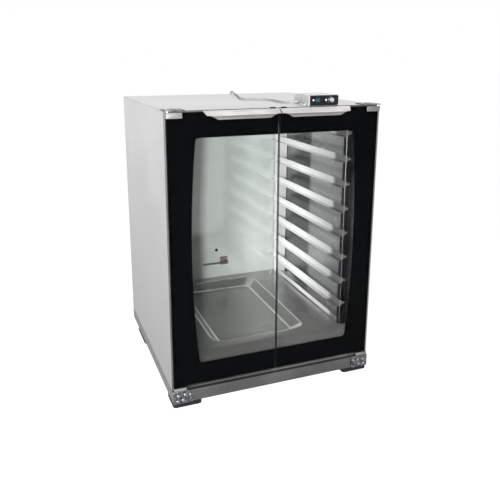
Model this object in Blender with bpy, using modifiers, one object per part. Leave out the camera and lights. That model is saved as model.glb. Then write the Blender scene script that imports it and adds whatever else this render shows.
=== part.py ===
"""A proofing cabinet with two frameless glass doors. Metres, +Z up, the doors face -Y."""
import math

import bmesh
import bpy
from mathutils import Matrix, Vector

# Driving dimensions of the cabinet
WIDTH = 0.570
BODY_DEPTH = 0.545
HEIGHT = 0.757
FOOT_HEIGHT = 0.012
CHASSIS_HEIGHT = 0.0325
SILL_HEIGHT = 0.0755
ROOF_THICKNESS = 0.039
WALL_THICKNESS = 0.020
REAR_WALL_THICKNESS = 0.015
LEVELS = 8
TOP_RUNNER_DROP = 0.048
LOWEST_RUNNER_RISE = 0.060

# Clearances and sheets
GAP = 0.0003
OVERRUN = 0.004
SHEET = 0.0010
TOP_SHEET = 0.0012
LINER_SHEET = 0.0008
INSULATION_AIR = 0.0005
CORNER_ROUND = 0.0015
FINE_ROUND = 0.0005

# Feet
FOOT_WIDTH = 0.076
FRONT_FOOT_LENGTH = 0.068
REAR_FOOT_LENGTH = 0.110
REAR_FOOT_INSET = 0.080

# Doors
GLASS_THICKNESS = 0.006
DOOR_STANDOFF = 0.005
DOOR_SIDE_INSET = 0.0025
DOOR_MEETING_GAP = 0.002
DOOR_BOTTOM_GAP = 0.011
DOOR_TOP_DROP = 0.003
PRINT_THICKNESS = 0.0004
WINDOW_TOP_MARGIN = 0.061
WINDOW_BOTTOM_MARGIN = 0.0575
WINDOW_END_MARGIN = 0.0735
WINDOW_MIDDLE_MARGIN = 0.0590
WINDOW_CORNER_RADIUS = 0.009
WINDOW_ARC_STEPS = 16
WINDOW_CORNER_STEPS = 4

# Pivots
PIVOT_INSET = 0.0045
PIVOT_DEPTH = 0.0035
PIN_RADIUS = 0.0021
PIN_CLEARANCE = 0.0003
PIN_HOLE_DEPTH = 0.0105
PIN_END_CLEARANCE = 0.0006
CLAMP_PLATE = 0.0022
CLAMP_BACK_PLATE = 0.0012
UPPER_CLAMP_WIDTH = 0.038
UPPER_CLAMP_HEIGHT = 0.0135
PIVOT_BLOCK = 0.012
LOWER_CLAMP_WIDTH = 0.033
LOWER_CLAMP_BACK_HEIGHT = 0.015
BRACKET_SHEET = 0.0020
TOP_BRACKET_WIDTH = 0.049
TOP_BRACKET_REACH = 0.036
BOTTOM_BRACKET_WIDTH = 0.052
BOTTOM_LEDGE_DEPTH = 0.0130
SCREW_RADIUS = 0.0030
SCREW_HEAD = 0.0012
SCREW_SINK = 0.0006
SCREW_SIDES = 10
TOP_SCREW_SHARES = ((0.22, 0.45), (0.55, 0.72), (0.82, 0.40))
BOTTOM_SCREW_SHARES = ((0.16, 0.70), (0.42, 0.74), (0.76, 0.68), (0.52, 0.28), (0.80, 0.24))

# Handles
HANDLE_SHEET = 0.0015
HANDLE_REACH = 0.014
HANDLE_INNER = 0.0012
HANDLE_CLAMP_DISTANCE = 0.0495
HANDLE_FACET_DROP = 0.010
HANDLE_LIP_HEIGHT = 0.010
HANDLE_FACET_TAPER = 0.006
HANDLE_LIP_TAPER = 0.020
HANDLE_LIP_INSET = 0.008
HANDLE_LIP_NOTCH = 0.009
HANDLE_CLIP_INSET = 0.044
HANDLE_CLIP_HEIGHT = 0.013
HANDLE_CLIP_SHEET = 0.0012

# Door seal and catch
SEAL_WIDTH = 0.008
SEAL_SIDE_INSET = 0.0005
SEAL_TOP_RISE = 0.004
SEAL_BOTTOM_DROP = 0.030
CATCH_HALF_WIDTH = 0.034
CATCH_HEIGHT = 0.017
CATCH_TOP_DROP = 0.0015
CATCH_DEPTH = 0.0034
CATCH_POST_INNER = 0.006
CATCH_POST_OUTER = 0.023
CATCH_POST_RISE = 0.002
CATCH_POST_DEPTH = 0.0019

# Racks
RACK_SHEET = 0.0012
UPRIGHT_WIDTH = 0.0389
UPRIGHT_DEPTH = 0.015
FRONT_UPRIGHT_SETBACK = 0.0495
REAR_UPRIGHT_AIR = 0.008
RACK_TOP_AIR = 0.006
RAIL_HEIGHT = 0.014
RAIL_LIFT = 0.003
RUNNER_WEB_HEIGHT = 0.018
RUNNER_LEDGE = 0.0140
RUNNER_OVERHANG = 0.0030
EAR_WIDTH = 0.014
EAR_HEIGHT = 0.004

# Pressed water basin
FLOOR_LIP_DEPTH = 0.045
FLOOR_LIP_DROP = 0.014
BASIN_CENTRE_X = -0.009
BASIN_HALF_WIDTH = 0.138
BASIN_FRONT = 0.0738
BASIN_REAR_AIR = 0.034
BASIN_SLOPE = 0.026
BASIN_DEPTH = 0.022
BASIN_CORNER_RADIUS = 0.032
BASIN_CORNER_STEPS = 4

# Heater under the basin
HEATER_RADIUS = 0.0035
HEATER_HALF_SPAN = 0.078
HEATER_END_INSET = 0.045
HEATER_TURN_STEPS = 6

# Temperature probe on the rear wall
PROBE_RADIUS = 0.003
PROBE_START_X = -0.042
PROBE_LENGTH = 0.095
PROBE_RISE = 0.052
PROBE_CLIP_SIZE = (0.028, 0.0085, 0.026)
PROBE_CLIP_SHIFT = 0.031
PROBE_WALL_AIR = 0.0012

# Control pod on the top
POD_SIDE_INSET = 0.1025
POD_SETBACK = 0.026
POD_WIDTH = 0.084
POD_DEPTH = 0.088
POD_HEIGHT = 0.0255
POD_SHEET = 0.0012
POD_FLANGE_WIDTH = 0.010
POD_FLANGE_LENGTH = 0.040
POD_FLANGE_SETBACK = 0.008
FASCIA_THICKNESS = 0.003
FASCIA_PROUD = 0.001
FASCIA_CORNER_RADIUS = 0.006
FASCIA_CORNER_STEPS = 4
CONTROL_LEVEL = 0.0130
KNOB_RADIUS = 0.0068
KNOB_LENGTH = 0.011
KNOB_SIDES = 28
SHAFT_RADIUS = 0.003
SHAFT_LENGTH = 0.008
LAMP_RADIUS = 0.0022
LAMP_PROUD = 0.0014
SWITCH_WIDTH = 0.0115
SWITCH_HEIGHT = 0.0085
SWITCH_DEPTH = 0.0050
SWITCH_PROUD = 0.0022
SWITCH_TILT = math.radians(8)
SWITCH_CLEARANCE = 0.0007
KNOB_OFFSET = 0.0170
SWITCH_OFFSET = -0.0190
POWER_LAMP_OFFSET = -0.0310
HEAT_LAMP_OFFSET = 0.0050
HOLE_CLEARANCE = 0.0003

# Control cable and its glands
CABLE_RADIUS = 0.0025
CABLE_STEP = 0.012
GLAND_RADIUS = 0.0045
GLAND_LENGTH = 0.005
GLAND_REAR_INSET = 0.014
GLAND_LIFT = 0.0052
REAR_GLAND_SHIFT = 0.0235
REAR_GLAND_DROP = 0.117
REAR_GLAND_NUT_RADIUS = 0.009
REAR_GLAND_NUT_LENGTH = 0.005
REAR_GLAND_LENGTH = 0.013
REAR_GLAND_RADIUS = 0.006

# Places of the cable on top: to the left of the pod, behind the front edge, and above its rest there
CABLE_ON_TOP = (
    (0.0245, 0.1120, 0.0004),
    (0.0285, 0.1500, 0.0000),
    (0.0265, 0.2000, 0.0000),
    (0.0365, 0.2360, 0.0000),
    (0.0565, 0.2470, 0.0000),
    (0.0775, 0.2560, 0.0000),
    (0.0875, 0.2880, 0.0000),
    (0.0690, 0.3600, 0.0000),
    (0.0485, 0.4300, 0.0000),
    (0.0320, 0.4980, 0.0006),
)

# Places of the cable at the rear: to the left of the pod, behind the rear edge, and below its rest on top
CABLE_BEHIND = (
    (0.0265, -0.0120, -0.0042),
    (0.0240, 0.0060, -0.0030),
    (0.0235, 0.0160, 0.0120),
    (0.0235, 0.0190, 0.0400),
    (0.0235, 0.0250, 0.0800),
    (0.0235, 0.0290, 0.1020),
    (0.0235, 0.0260, 0.1177),
)
CABLE_STRAIGHT = 0.008
CABLE_DIP = 0.0005
CABLE_RUN_IN = 0.005

ROUND_SIDES = 20

# Planes and lines that follow from the sizes above
HALF_WIDTH = WIDTH / 2
DOOR_FRONT_OFFSET = DOOR_STANDOFF + GLASS_THICKNESS
FRONT_REACH = DOOR_FRONT_OFFSET + HANDLE_REACH
FRAME_FRONT = FRONT_REACH - (FRONT_REACH + BODY_DEPTH + REAR_GLAND_LENGTH) / 2
REAR = FRAME_FRONT + BODY_DEPTH
GLASS_FRONT = FRAME_FRONT - DOOR_FRONT_OFFSET
GLASS_BACK = FRAME_FRONT - DOOR_STANDOFF
PRINT_BACK = GLASS_BACK + GAP + PRINT_THICKNESS
LAYER_FRONT = PRINT_BACK + GAP
CHASSIS_TOP = FOOT_HEIGHT + CHASSIS_HEIGHT
FLOOR_LEVEL = CHASSIS_TOP + SILL_HEIGHT
CEILING_LEVEL = HEIGHT - ROOF_THICKNESS
FRAME_BACK = FRAME_FRONT + SHEET
LINER_FRONT = FRAME_BACK + 2 * GAP
LINER_HALF = HALF_WIDTH - WALL_THICKNESS
LINER_REAR = REAR - REAR_WALL_THICKNESS
SIDE_INNER = HALF_WIDTH - SHEET
TOP_UNDERSIDE = HEIGHT - TOP_SHEET
DOOR_OUTER = HALF_WIDTH - DOOR_SIDE_INSET
DOOR_INNER = DOOR_MEETING_GAP / 2
DOOR_BOTTOM = CHASSIS_TOP + DOOR_BOTTOM_GAP
DOOR_TOP = HEIGHT - DOOR_TOP_DROP
PIVOT_X = DOOR_OUTER - PIVOT_INSET
PIVOT_Y = GLASS_BACK - PIVOT_DEPTH
CLAMP_FRONT = GLASS_FRONT - GAP - CLAMP_PLATE
CLAMP_BACK = LAYER_FRONT + CLAMP_BACK_PLATE
BRACKET_TOP = CHASSIS_TOP + GAP + BRACKET_SHEET
HANDLE_OUTER = DOOR_OUTER - UPPER_CLAMP_WIDTH - HANDLE_CLAMP_DISTANCE
UPRIGHT_OUTER = LINER_HALF - GAP
UPRIGHT_INNER = UPRIGHT_OUTER - UPRIGHT_WIDTH
RACK_CLEAR_HALF = UPRIGHT_INNER - GAP - RACK_SHEET
TOP_RUNNER_LEVEL = CEILING_LEVEL - TOP_RUNNER_DROP
LOWEST_RUNNER_LEVEL = FLOOR_LEVEL + LOWEST_RUNNER_RISE
PROBE_LEVEL = FLOOR_LEVEL + PROBE_RISE
FRONT_UPRIGHT = FRAME_FRONT + FRONT_UPRIGHT_SETBACK
REAR_UPRIGHT = LINER_REAR - REAR_UPRIGHT_AIR - UPRIGHT_DEPTH
RACK_TOP = CEILING_LEVEL - RACK_TOP_AIR
RACK_BOTTOM = FLOOR_LEVEL + GAP
POD_FRONT = FRAME_FRONT + POD_SETBACK
POD_BOTTOM = HEIGHT + GAP
POD_REAR = POD_FRONT + POD_DEPTH
POD_LEFT = HALF_WIDTH - POD_SIDE_INSET - POD_WIDTH
POD_CENTRE_X = POD_LEFT + POD_WIDTH / 2
REAR_GLAND_X = POD_LEFT - REAR_GLAND_SHIFT
REAR_GLAND_LEVEL = HEIGHT - REAR_GLAND_DROP
CONTROL_Z = HEIGHT + CONTROL_LEVEL
BASIN_OUTER_BOTTOM = FLOOR_LEVEL - BASIN_DEPTH - LINER_SHEET

SIDES = {"left": -1, "right": 1}

# Colour, roughness and metallic value of each finish
FINISHES = {
    "polished steel": ((0.62, 0.63, 0.63), 0.30, 1.0),
    "bright steel": ((0.72, 0.73, 0.73), 0.18, 1.0),
    "galvanised steel": ((0.50, 0.51, 0.52), 0.45, 1.0),
    "glass": ((0.80, 0.84, 0.83), 0.03, 0.0),
    "black print": ((0.008, 0.008, 0.010), 0.15, 0.0),
    "black rubber": ((0.02, 0.02, 0.02), 0.80, 0.0),
    "black plastic": ((0.015, 0.015, 0.02), 0.35, 0.0),
    "mineral wool": ((0.55, 0.52, 0.40), 0.95, 0.0),
    "grey cable": ((0.30, 0.30, 0.31), 0.50, 0.0),
    "lit green": ((0.05, 0.45, 0.40), 0.30, 0.0),
    "clear lamp": ((0.85, 0.86, 0.84), 0.20, 0.0),
}


def clear_scene():
    for obj in list(bpy.data.objects):
        bpy.data.objects.remove(obj, do_unlink=True)


def new_collection(name):
    collection = bpy.data.collections.new(name)
    bpy.context.scene.collection.children.link(collection)
    return collection


clear_scene()
CABINET = new_collection("proofing_cabinet")
CUTTERS = new_collection("cutters")


def adopt(obj, name, finish=None):
    """Name an object and file it as a part with its own material, or as a cutter."""
    for collection in list(obj.users_collection):
        collection.objects.unlink(obj)
    obj.name = name
    obj.data.name = name
    if finish is None:
        CUTTERS.objects.link(obj)
        obj.hide_render = True
        obj.display_type = "WIRE"
        return obj
    CABINET.objects.link(obj)
    colour, roughness, metallic = FINISHES[finish]
    material = bpy.data.materials.new(name)
    material.use_nodes = True
    shader = material.node_tree.nodes["Principled BSDF"]
    shader.inputs["Base Color"].default_value = (*colour, 1.0)
    shader.inputs["Roughness"].default_value = roughness
    shader.inputs["Metallic"].default_value = metallic
    obj.data.materials.clear()
    obj.data.materials.append(material)
    return obj


def box(name, low, high, finish=None):
    """A box between two opposite corners."""
    centre = [(a + b) / 2 for a, b in zip(low, high)]
    bpy.ops.mesh.primitive_cube_add(size=1, location=centre)
    obj = bpy.context.object
    obj.scale = [b - a for a, b in zip(low, high)]
    bpy.ops.object.transform_apply(location=False, rotation=False, scale=True)
    return adopt(obj, name, finish)


def side_box(name, side, across, along, up, finish=None):
    """A box on one side, with its X range measured outwards from the middle of the cabinet."""
    low_x, high_x = sorted((side * across[0], side * across[1]))
    return box(name, (low_x, along[0], up[0]), (high_x, along[1], up[1]), finish)


def rod(name, radius, start, end, finish=None, sides=ROUND_SIDES):
    """A straight round bar from one point to another."""
    start, end = Vector(start), Vector(end)
    bpy.ops.mesh.primitive_cylinder_add(
        vertices=sides, radius=radius, depth=(end - start).length, location=(start + end) / 2
    )
    obj = bpy.context.object
    obj.rotation_euler = (end - start).to_track_quat("Z", "Y").to_euler()
    obj.data.shade_smooth()
    obj.data.set_sharp_from_angle(angle=math.radians(40))
    return adopt(obj, name, finish)


def round_edges(obj, width, segments=1, angle=math.radians(40)):
    modifier = obj.modifiers.new("rounded edges", "BEVEL")
    modifier.width = width
    modifier.segments = segments
    modifier.limit_method = "ANGLE"
    modifier.angle_limit = angle
    modifier.harden_normals = False


def join(target, piece):
    modifier = target.modifiers.new(f"join {piece.name}", "BOOLEAN")
    modifier.operation = "UNION"
    modifier.solver = "EXACT"
    modifier.object = piece


def cut(target, cutter):
    modifier = target.modifiers.new(f"cut {cutter.name}", "BOOLEAN")
    modifier.operation = "DIFFERENCE"
    modifier.solver = "EXACT"
    modifier.object = cutter


def profile(name, plane, outline, start, end, finish=None):
    """A closed outline in one plane, drawn out across it from start to end, as a closed mesh."""
    curve = bpy.data.curves.new(name, "CURVE")
    curve.dimensions = "2D"
    curve.fill_mode = "BOTH"
    curve.extrude = abs(end - start) / 2
    spline = curve.splines.new("POLY")
    spline.points.add(len(outline) - 1)
    for point, (across, up) in zip(spline.points, outline):
        point.co = (across, up, 0.0, 1.0)
    spline.use_cyclic_u = True
    drawn = bpy.data.objects.new(name, curve)
    bpy.context.scene.collection.objects.link(drawn)
    across_axis = next(axis for axis in "xyz" if axis not in plane)
    setattr(drawn.location, across_axis, (start + end) / 2)
    drawn.rotation_euler.x = 0 if plane == "xy" else math.pi / 2
    drawn.rotation_euler.z = math.pi / 2 if plane == "yz" else 0
    return as_mesh(drawn, name, finish)


def mirrored(side, outline):
    """An outline that is given for the right side, for either side."""
    return [(side * across, up) for across, up in outline]


def as_mesh(drawn, name, finish=None):
    """Turn a curve object into a closed mesh object in the same place."""
    bpy.context.view_layer.update()
    evaluated = drawn.evaluated_get(bpy.context.evaluated_depsgraph_get())
    mesh = bpy.data.meshes.new_from_object(evaluated)
    welded = bmesh.new()
    welded.from_mesh(mesh)
    bmesh.ops.remove_doubles(welded, verts=welded.verts, dist=GAP / 10)
    bmesh.ops.recalc_face_normals(welded, faces=welded.faces)
    welded.to_mesh(mesh)
    welded.free()
    solid = bpy.data.objects.new(name, mesh)
    bpy.context.scene.collection.objects.link(solid)
    solid.matrix_world = drawn.matrix_world.copy()
    bpy.data.objects.remove(drawn, do_unlink=True)
    return adopt(solid, name, finish)


def hang(obj, pivot):
    """Parent an object to an empty on its joint axis and leave it where it is."""
    obj.parent = pivot
    obj.matrix_parent_inverse = Matrix.Translation(pivot.location).inverted()


def empty(name, location):
    pivot = bpy.data.objects.new(name, None)
    pivot.location = location
    CABINET.objects.link(pivot)
    return pivot


def add_screws(plate, name, places, direction):
    """Join low round screw heads to a plate, each standing out of its face along a direction."""
    direction = Vector(direction)
    for number, place in enumerate(places, 1):
        foot = Vector(place) - direction * SCREW_SINK
        head = Vector(place) + direction * SCREW_HEAD
        join(plate, rod(f"{name}_screw_{number}", SCREW_RADIUS, foot, head, sides=SCREW_SIDES))


def share_between(low, high, share):
    return low + (high - low) * share


def make_outer_panels():
    low, high = CHASSIS_TOP + GAP, TOP_UNDERSIDE - GAP
    outline = (
        (HALF_WIDTH, FRAME_FRONT),
        (HALF_WIDTH, REAR),
        (SIDE_INNER, REAR),
        (SIDE_INNER, FRAME_BACK),
        (LINER_HALF, FRAME_BACK),
        (LINER_HALF, FRAME_FRONT),
    )
    for word, side in SIDES.items():
        profile(f"side_panel_{word}", "xy", mirrored(side, outline), low, high, "polished steel")

    top = box("top_panel", (-HALF_WIDTH, FRAME_FRONT, TOP_UNDERSIDE), (HALF_WIDTH, REAR, HEIGHT), "polished steel")
    half = LINER_HALF - GAP
    middle = TOP_UNDERSIDE + TOP_SHEET / 2
    header = box("header", (-half, FRAME_FRONT + GAP, CEILING_LEVEL), (half, FRAME_BACK + GAP, middle))
    join(top, header)

    rear_half = SIDE_INNER - GAP
    box("rear_panel", (-rear_half, REAR - SHEET, low), (rear_half, REAR, high), "galvanised steel")


def make_chassis():
    """The base pan, whose front wall stands in the plane of the glass doors."""
    front = GLASS_FRONT
    pan = box("base_chassis", (-HALF_WIDTH, front, FOOT_HEIGHT), (HALF_WIDTH, REAR, CHASSIS_TOP), "polished steel")
    hollow = box(
        "chassis_hollow",
        (-SIDE_INNER, front + SHEET, FOOT_HEIGHT + SHEET),
        (SIDE_INNER, REAR - SHEET, CHASSIS_TOP + OVERRUN),
    )
    cut(pan, hollow)
    for word, side in SIDES.items():
        across = (HALF_WIDTH - FOOT_WIDTH, HALF_WIDTH)
        up = (0, FOOT_HEIGHT - GAP)
        foot = side_box(f"foot_front_{word}", side, across, (front, front + FRONT_FOOT_LENGTH), up, "black rubber")
        round_edges(foot, CORNER_ROUND)
        back = REAR - REAR_FOOT_INSET
        foot = side_box(f"foot_rear_{word}", side, across, (back - REAR_FOOT_LENGTH, back), up, "black rubber")
        round_edges(foot, CORNER_ROUND)


def basin_block(name, grow, levels):
    """The tapered basin between its bottom and some levels above, grown by a sheet's thickness."""
    rear = LINER_REAR - BASIN_REAR_AIR
    front = FRAME_FRONT + BASIN_FRONT
    half_x = BASIN_HALF_WIDTH + grow
    half_y = (rear - front) / 2 + grow
    radius = BASIN_CORNER_RADIUS + grow
    insets = [BASIN_SLOPE] + [0] * len(levels)
    shape = bmesh.new()
    rings = []
    for level, inset in zip([FLOOR_LEVEL - BASIN_DEPTH - grow, *levels], insets):
        ring = []
        for x, y in rounded_rectangle(half_x - inset, half_y - inset, radius, BASIN_CORNER_STEPS):
            ring.append(shape.verts.new((BASIN_CENTRE_X + x, (front + rear) / 2 + y, level)))
        rings.append(ring)
    for lower, upper in zip(rings, rings[1:]):
        for i in range(len(lower)):
            j = (i + 1) % len(lower)
            shape.faces.new((lower[i], lower[j], upper[j], upper[i]))
    shape.faces.new(reversed(rings[0]))
    shape.faces.new(rings[-1])
    return from_bmesh(shape, name)


def from_bmesh(shape, name, finish=None):
    mesh = bpy.data.meshes.new(name)
    shape.to_mesh(mesh)
    shape.free()
    solid = bpy.data.objects.new(name, mesh)
    bpy.context.scene.collection.objects.link(solid)
    return adopt(solid, name, finish)


def rounded_rectangle(half_x, half_y, radius, steps):
    """Points of a rectangle with round corners, anticlockwise round the origin."""
    points = []
    corners = ((1, 1, 0), (-1, 1, 90), (-1, -1, 180), (1, -1, 270))
    for sign_x, sign_y, start in corners:
        for step in range(steps + 1):
            angle = math.radians(start + 90 * step / steps)
            x = sign_x * (half_x - radius) + radius * math.cos(angle)
            y = sign_y * (half_y - radius) + radius * math.sin(angle)
            points.append((x, y))
    return points


def make_liner():
    """The chamber: two sides, rear, ceiling, and a floor with a sloping lip and the pressed water basin."""
    outer = LINER_HALF + LINER_SHEET
    inside = LINER_HALF - GAP
    rear = LINER_REAR + LINER_SHEET
    low, high = FLOOR_LEVEL + GAP, CEILING_LEVEL - GAP
    for word, side in SIDES.items():
        up = (FLOOR_LEVEL - FLOOR_LIP_DROP - LINER_SHEET, high)
        side_box(f"liner_side_{word}", side, (LINER_HALF, outer), (LINER_FRONT, rear), up, "bright steel")
    box("liner_rear", (-inside, LINER_REAR, low), (inside, rear, high), "bright steel")
    ceiling_top = CEILING_LEVEL + LINER_SHEET
    box("liner_ceiling", (-outer, LINER_FRONT, CEILING_LEVEL), (outer, rear, ceiling_top), "bright steel")

    sill_bottom = CHASSIS_TOP + GAP
    underside = FLOOR_LEVEL - LINER_SHEET
    lip_end = FRAME_FRONT + FLOOR_LIP_DEPTH
    outline = (
        (FRAME_FRONT, FLOOR_LEVEL - FLOOR_LIP_DROP),
        (lip_end, FLOOR_LEVEL),
        (rear, FLOOR_LEVEL),
        (rear, underside),
        (lip_end, underside),
        (FRAME_BACK, underside - FLOOR_LIP_DROP),
        (FRAME_BACK, sill_bottom),
        (FRAME_FRONT, sill_bottom),
    )
    floor = profile("liner_floor", "yz", outline, -inside, inside, "bright steel")
    join(floor, basin_block("basin_outside", LINER_SHEET, [FLOOR_LEVEL - LINER_SHEET / 2]))
    cut(floor, basin_block("basin_hollow", 0, [FLOOR_LEVEL, FLOOR_LEVEL + OVERRUN]))


def make_insulation():
    """One wrap of mineral wool between the panels and the liner, open at the front and below."""
    air = INSULATION_AIR
    outer = SIDE_INNER - air
    inner = LINER_HALF + LINER_SHEET + air
    front = FRAME_BACK + air
    bottom = FLOOR_LEVEL
    wrap = box(
        "insulation",
        (-outer, front, bottom),
        (outer, REAR - SHEET - air, TOP_UNDERSIDE - air),
        "mineral wool",
    )
    hollow = box(
        "insulation_hollow",
        (-inner, front - OVERRUN, bottom - OVERRUN),
        (inner, LINER_REAR + LINER_SHEET + air, CEILING_LEVEL + LINER_SHEET + air),
    )
    cut(wrap, hollow)


def make_seal():
    low, high = LAYER_FRONT + GAP, FRAME_FRONT - GAP
    inner = LINER_HALF + SEAL_SIDE_INSET
    bottom, top = FLOOR_LEVEL - SEAL_BOTTOM_DROP, CEILING_LEVEL + SEAL_TOP_RISE
    seal = box(
        "door_seal",
        (-inner - SEAL_WIDTH, low, bottom),
        (inner + SEAL_WIDTH, high, top + SEAL_WIDTH),
        "black rubber",
    )
    opening = box(
        "seal_opening",
        (-inner, low - OVERRUN, bottom + SEAL_WIDTH),
        (inner, high + OVERRUN, top),
    )
    cut(seal, opening)


def make_catch():
    """The catch bar behind the meeting edges, with a post behind each handle."""
    top = DOOR_TOP - CATCH_TOP_DROP
    back = FRAME_FRONT - GAP
    half = CATCH_HALF_WIDTH
    catch = box("door_catch", (-half, back - CATCH_DEPTH, top - CATCH_HEIGHT), (half, back, top), "black plastic")
    along = (back - CATCH_POST_DEPTH, back - GAP)
    up = (top - CATCH_HEIGHT / 2, HEIGHT + CATCH_POST_RISE)
    for word, side in SIDES.items():
        join(catch, side_box(f"catch_post_{word}", side, (CATCH_POST_INNER, CATCH_POST_OUTER), along, up))


def upright_outline(side, web, mouth):
    """The section of a channel upright, from its web to its open mouth."""
    sheet = math.copysign(RACK_SHEET, mouth - web)
    inner, outer = UPRIGHT_INNER, UPRIGHT_OUTER
    return mirrored(
        side,
        (
            (inner, web),
            (outer, web),
            (outer, mouth),
            (outer - RACK_SHEET, mouth),
            (outer - RACK_SHEET, web + sheet),
            (inner + RACK_SHEET, web + sheet),
            (inner + RACK_SHEET, mouth),
            (inner, mouth),
        ),
    )


def make_racks():
    rear_mouth = REAR_UPRIGHT + UPRIGHT_DEPTH
    along = (FRONT_UPRIGHT + RACK_SHEET / 2, rear_mouth - RACK_SHEET / 2)
    across = (UPRIGHT_INNER - GAP / 2, UPRIGHT_INNER + RACK_SHEET + GAP / 2)
    bottom, top = RACK_BOTTOM + RAIL_LIFT, RACK_TOP - RAIL_LIFT
    front_channel = (FRONT_UPRIGHT, FRONT_UPRIGHT + UPRIGHT_DEPTH)
    rear_channel = (REAR_UPRIGHT, rear_mouth)
    for word, side in SIDES.items():
        frame = profile(
            f"rack_frame_{word}", "xy", upright_outline(side, *front_channel), RACK_BOTTOM, RACK_TOP, "bright steel"
        )
        for name, low in (("bottom_rail", bottom), ("top_rail", top - RAIL_HEIGHT)):
            join(frame, side_box(f"{name}_{word}", side, across, along, (low, low + RAIL_HEIGHT)))
        join(frame, profile(f"rear_upright_{word}", "xy", upright_outline(side, *rear_channel), RACK_BOTTOM, RACK_TOP))
        for level in range(LEVELS):
            ledge = share_between(TOP_RUNNER_LEVEL, LOWEST_RUNNER_LEVEL, level / (LEVELS - 1))
            make_runner(f"runner_{word}_{level + 1}", side, ledge)


def make_runner(name, side, ledge):
    """An angle that carries one edge of a tray: a web against the uprights and a ledge below it."""
    inner = RACK_CLEAR_HALF
    outer = inner + RACK_SHEET
    under = ledge - RACK_SHEET
    web_top = under + RUNNER_WEB_HEIGHT
    tip = inner - RUNNER_LEDGE
    outline = ((tip, under), (outer, under), (outer, web_top), (inner, web_top), (inner, ledge), (tip, ledge))
    front = FRONT_UPRIGHT - RUNNER_OVERHANG
    rear = REAR_UPRIGHT + UPRIGHT_DEPTH
    runner = profile(name, "xz", mirrored(side, outline), front, rear, "bright steel")
    across = (inner + RACK_SHEET / 2, outer + EAR_WIDTH)
    along = (FRONT_UPRIGHT - GAP - RACK_SHEET, FRONT_UPRIGHT - GAP)
    join(runner, side_box(f"{name}_ear", side, across, along, (under + GAP, under + EAR_HEIGHT)))


def window_outline():
    """The clear window of both doors: two bowed sides, flat ends and round corners."""
    low, high = DOOR_BOTTOM + WINDOW_BOTTOM_MARGIN, DOOR_TOP - WINDOW_TOP_MARGIN
    half_height = (high - low) / 2
    middle = (high + low) / 2
    widest = HALF_WIDTH - WINDOW_MIDDLE_MARGIN
    bow = WINDOW_END_MARGIN - WINDOW_MIDDLE_MARGIN
    radius = (half_height**2 + bow**2) / (2 * bow)
    corner = WINDOW_CORNER_RADIUS
    reach = math.asin((half_height - corner) / radius)
    side = []
    for step in range(WINDOW_ARC_STEPS + 1):
        angle = reach * (2 * step / WINDOW_ARC_STEPS - 1)
        side.append((widest - radius * (1 - math.cos(angle)), middle + radius * math.sin(angle)))
    centre_x, centre_z = side[-1][0] - corner, side[-1][1]
    for step in range(1, WINDOW_CORNER_STEPS + 1):
        angle = math.radians(90 * step / WINDOW_CORNER_STEPS)
        side.append((centre_x + corner * math.cos(angle), centre_z + corner * math.sin(angle)))
    lower = []
    for step in range(WINDOW_CORNER_STEPS):
        angle = math.radians(90 * step / WINDOW_CORNER_STEPS - 90)
        lower.append((centre_x + corner * math.cos(angle), side[0][1] + corner * math.sin(angle)))
    right = lower + side
    left = [(-x, z) for x, z in reversed(right)]
    return right + left


def make_doors():
    for word, side in SIDES.items():
        pivot = empty(f"{word}_door_hinge", (side * PIVOT_X, PIVOT_Y, DOOR_BOTTOM))
        pieces = [make_glass(word, side), make_print(word, side), make_handle(word, side)]
        pieces += [make_upper_clamp(word, side), make_lower_clamp(word, side)]
        for piece in pieces:
            hang(piece, pivot)


def make_glass(word, side):
    across, up = (DOOR_INNER, DOOR_OUTER), (DOOR_BOTTOM, DOOR_TOP)
    glass = side_box(f"door_glass_{word}", side, across, (GLASS_FRONT, GLASS_BACK), up, "glass")
    round_edges(glass, FINE_ROUND)
    notch = side_box(
        f"glass_notch_{word}",
        side,
        (DOOR_OUTER - PIVOT_BLOCK, DOOR_OUTER + OVERRUN),
        (GLASS_FRONT - OVERRUN, GLASS_BACK + OVERRUN),
        (DOOR_TOP - UPPER_CLAMP_HEIGHT - GAP, DOOR_TOP + OVERRUN),
    )
    cut(glass, notch)
    return glass


def make_print(word, side):
    """The black printed border behind the glass, with the shared window cut out of it."""
    border = side_box(
        f"door_border_{word}",
        side,
        (DOOR_INNER, DOOR_OUTER),
        (GLASS_BACK + GAP, PRINT_BACK),
        (DOOR_BOTTOM, DOOR_TOP),
        "black print",
    )
    cut(border, profile(f"window_{word}", "xz", window_outline(), GLASS_BACK - OVERRUN, PRINT_BACK + OVERRUN))
    notch = side_box(
        f"border_notch_{word}",
        side,
        (DOOR_OUTER - PIVOT_BLOCK, DOOR_OUTER + OVERRUN),
        (GLASS_BACK - OVERRUN, PRINT_BACK + OVERRUN),
        (DOOR_TOP - UPPER_CLAMP_HEIGHT - GAP, DOOR_TOP + OVERRUN),
    )
    cut(border, notch)
    return border


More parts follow.
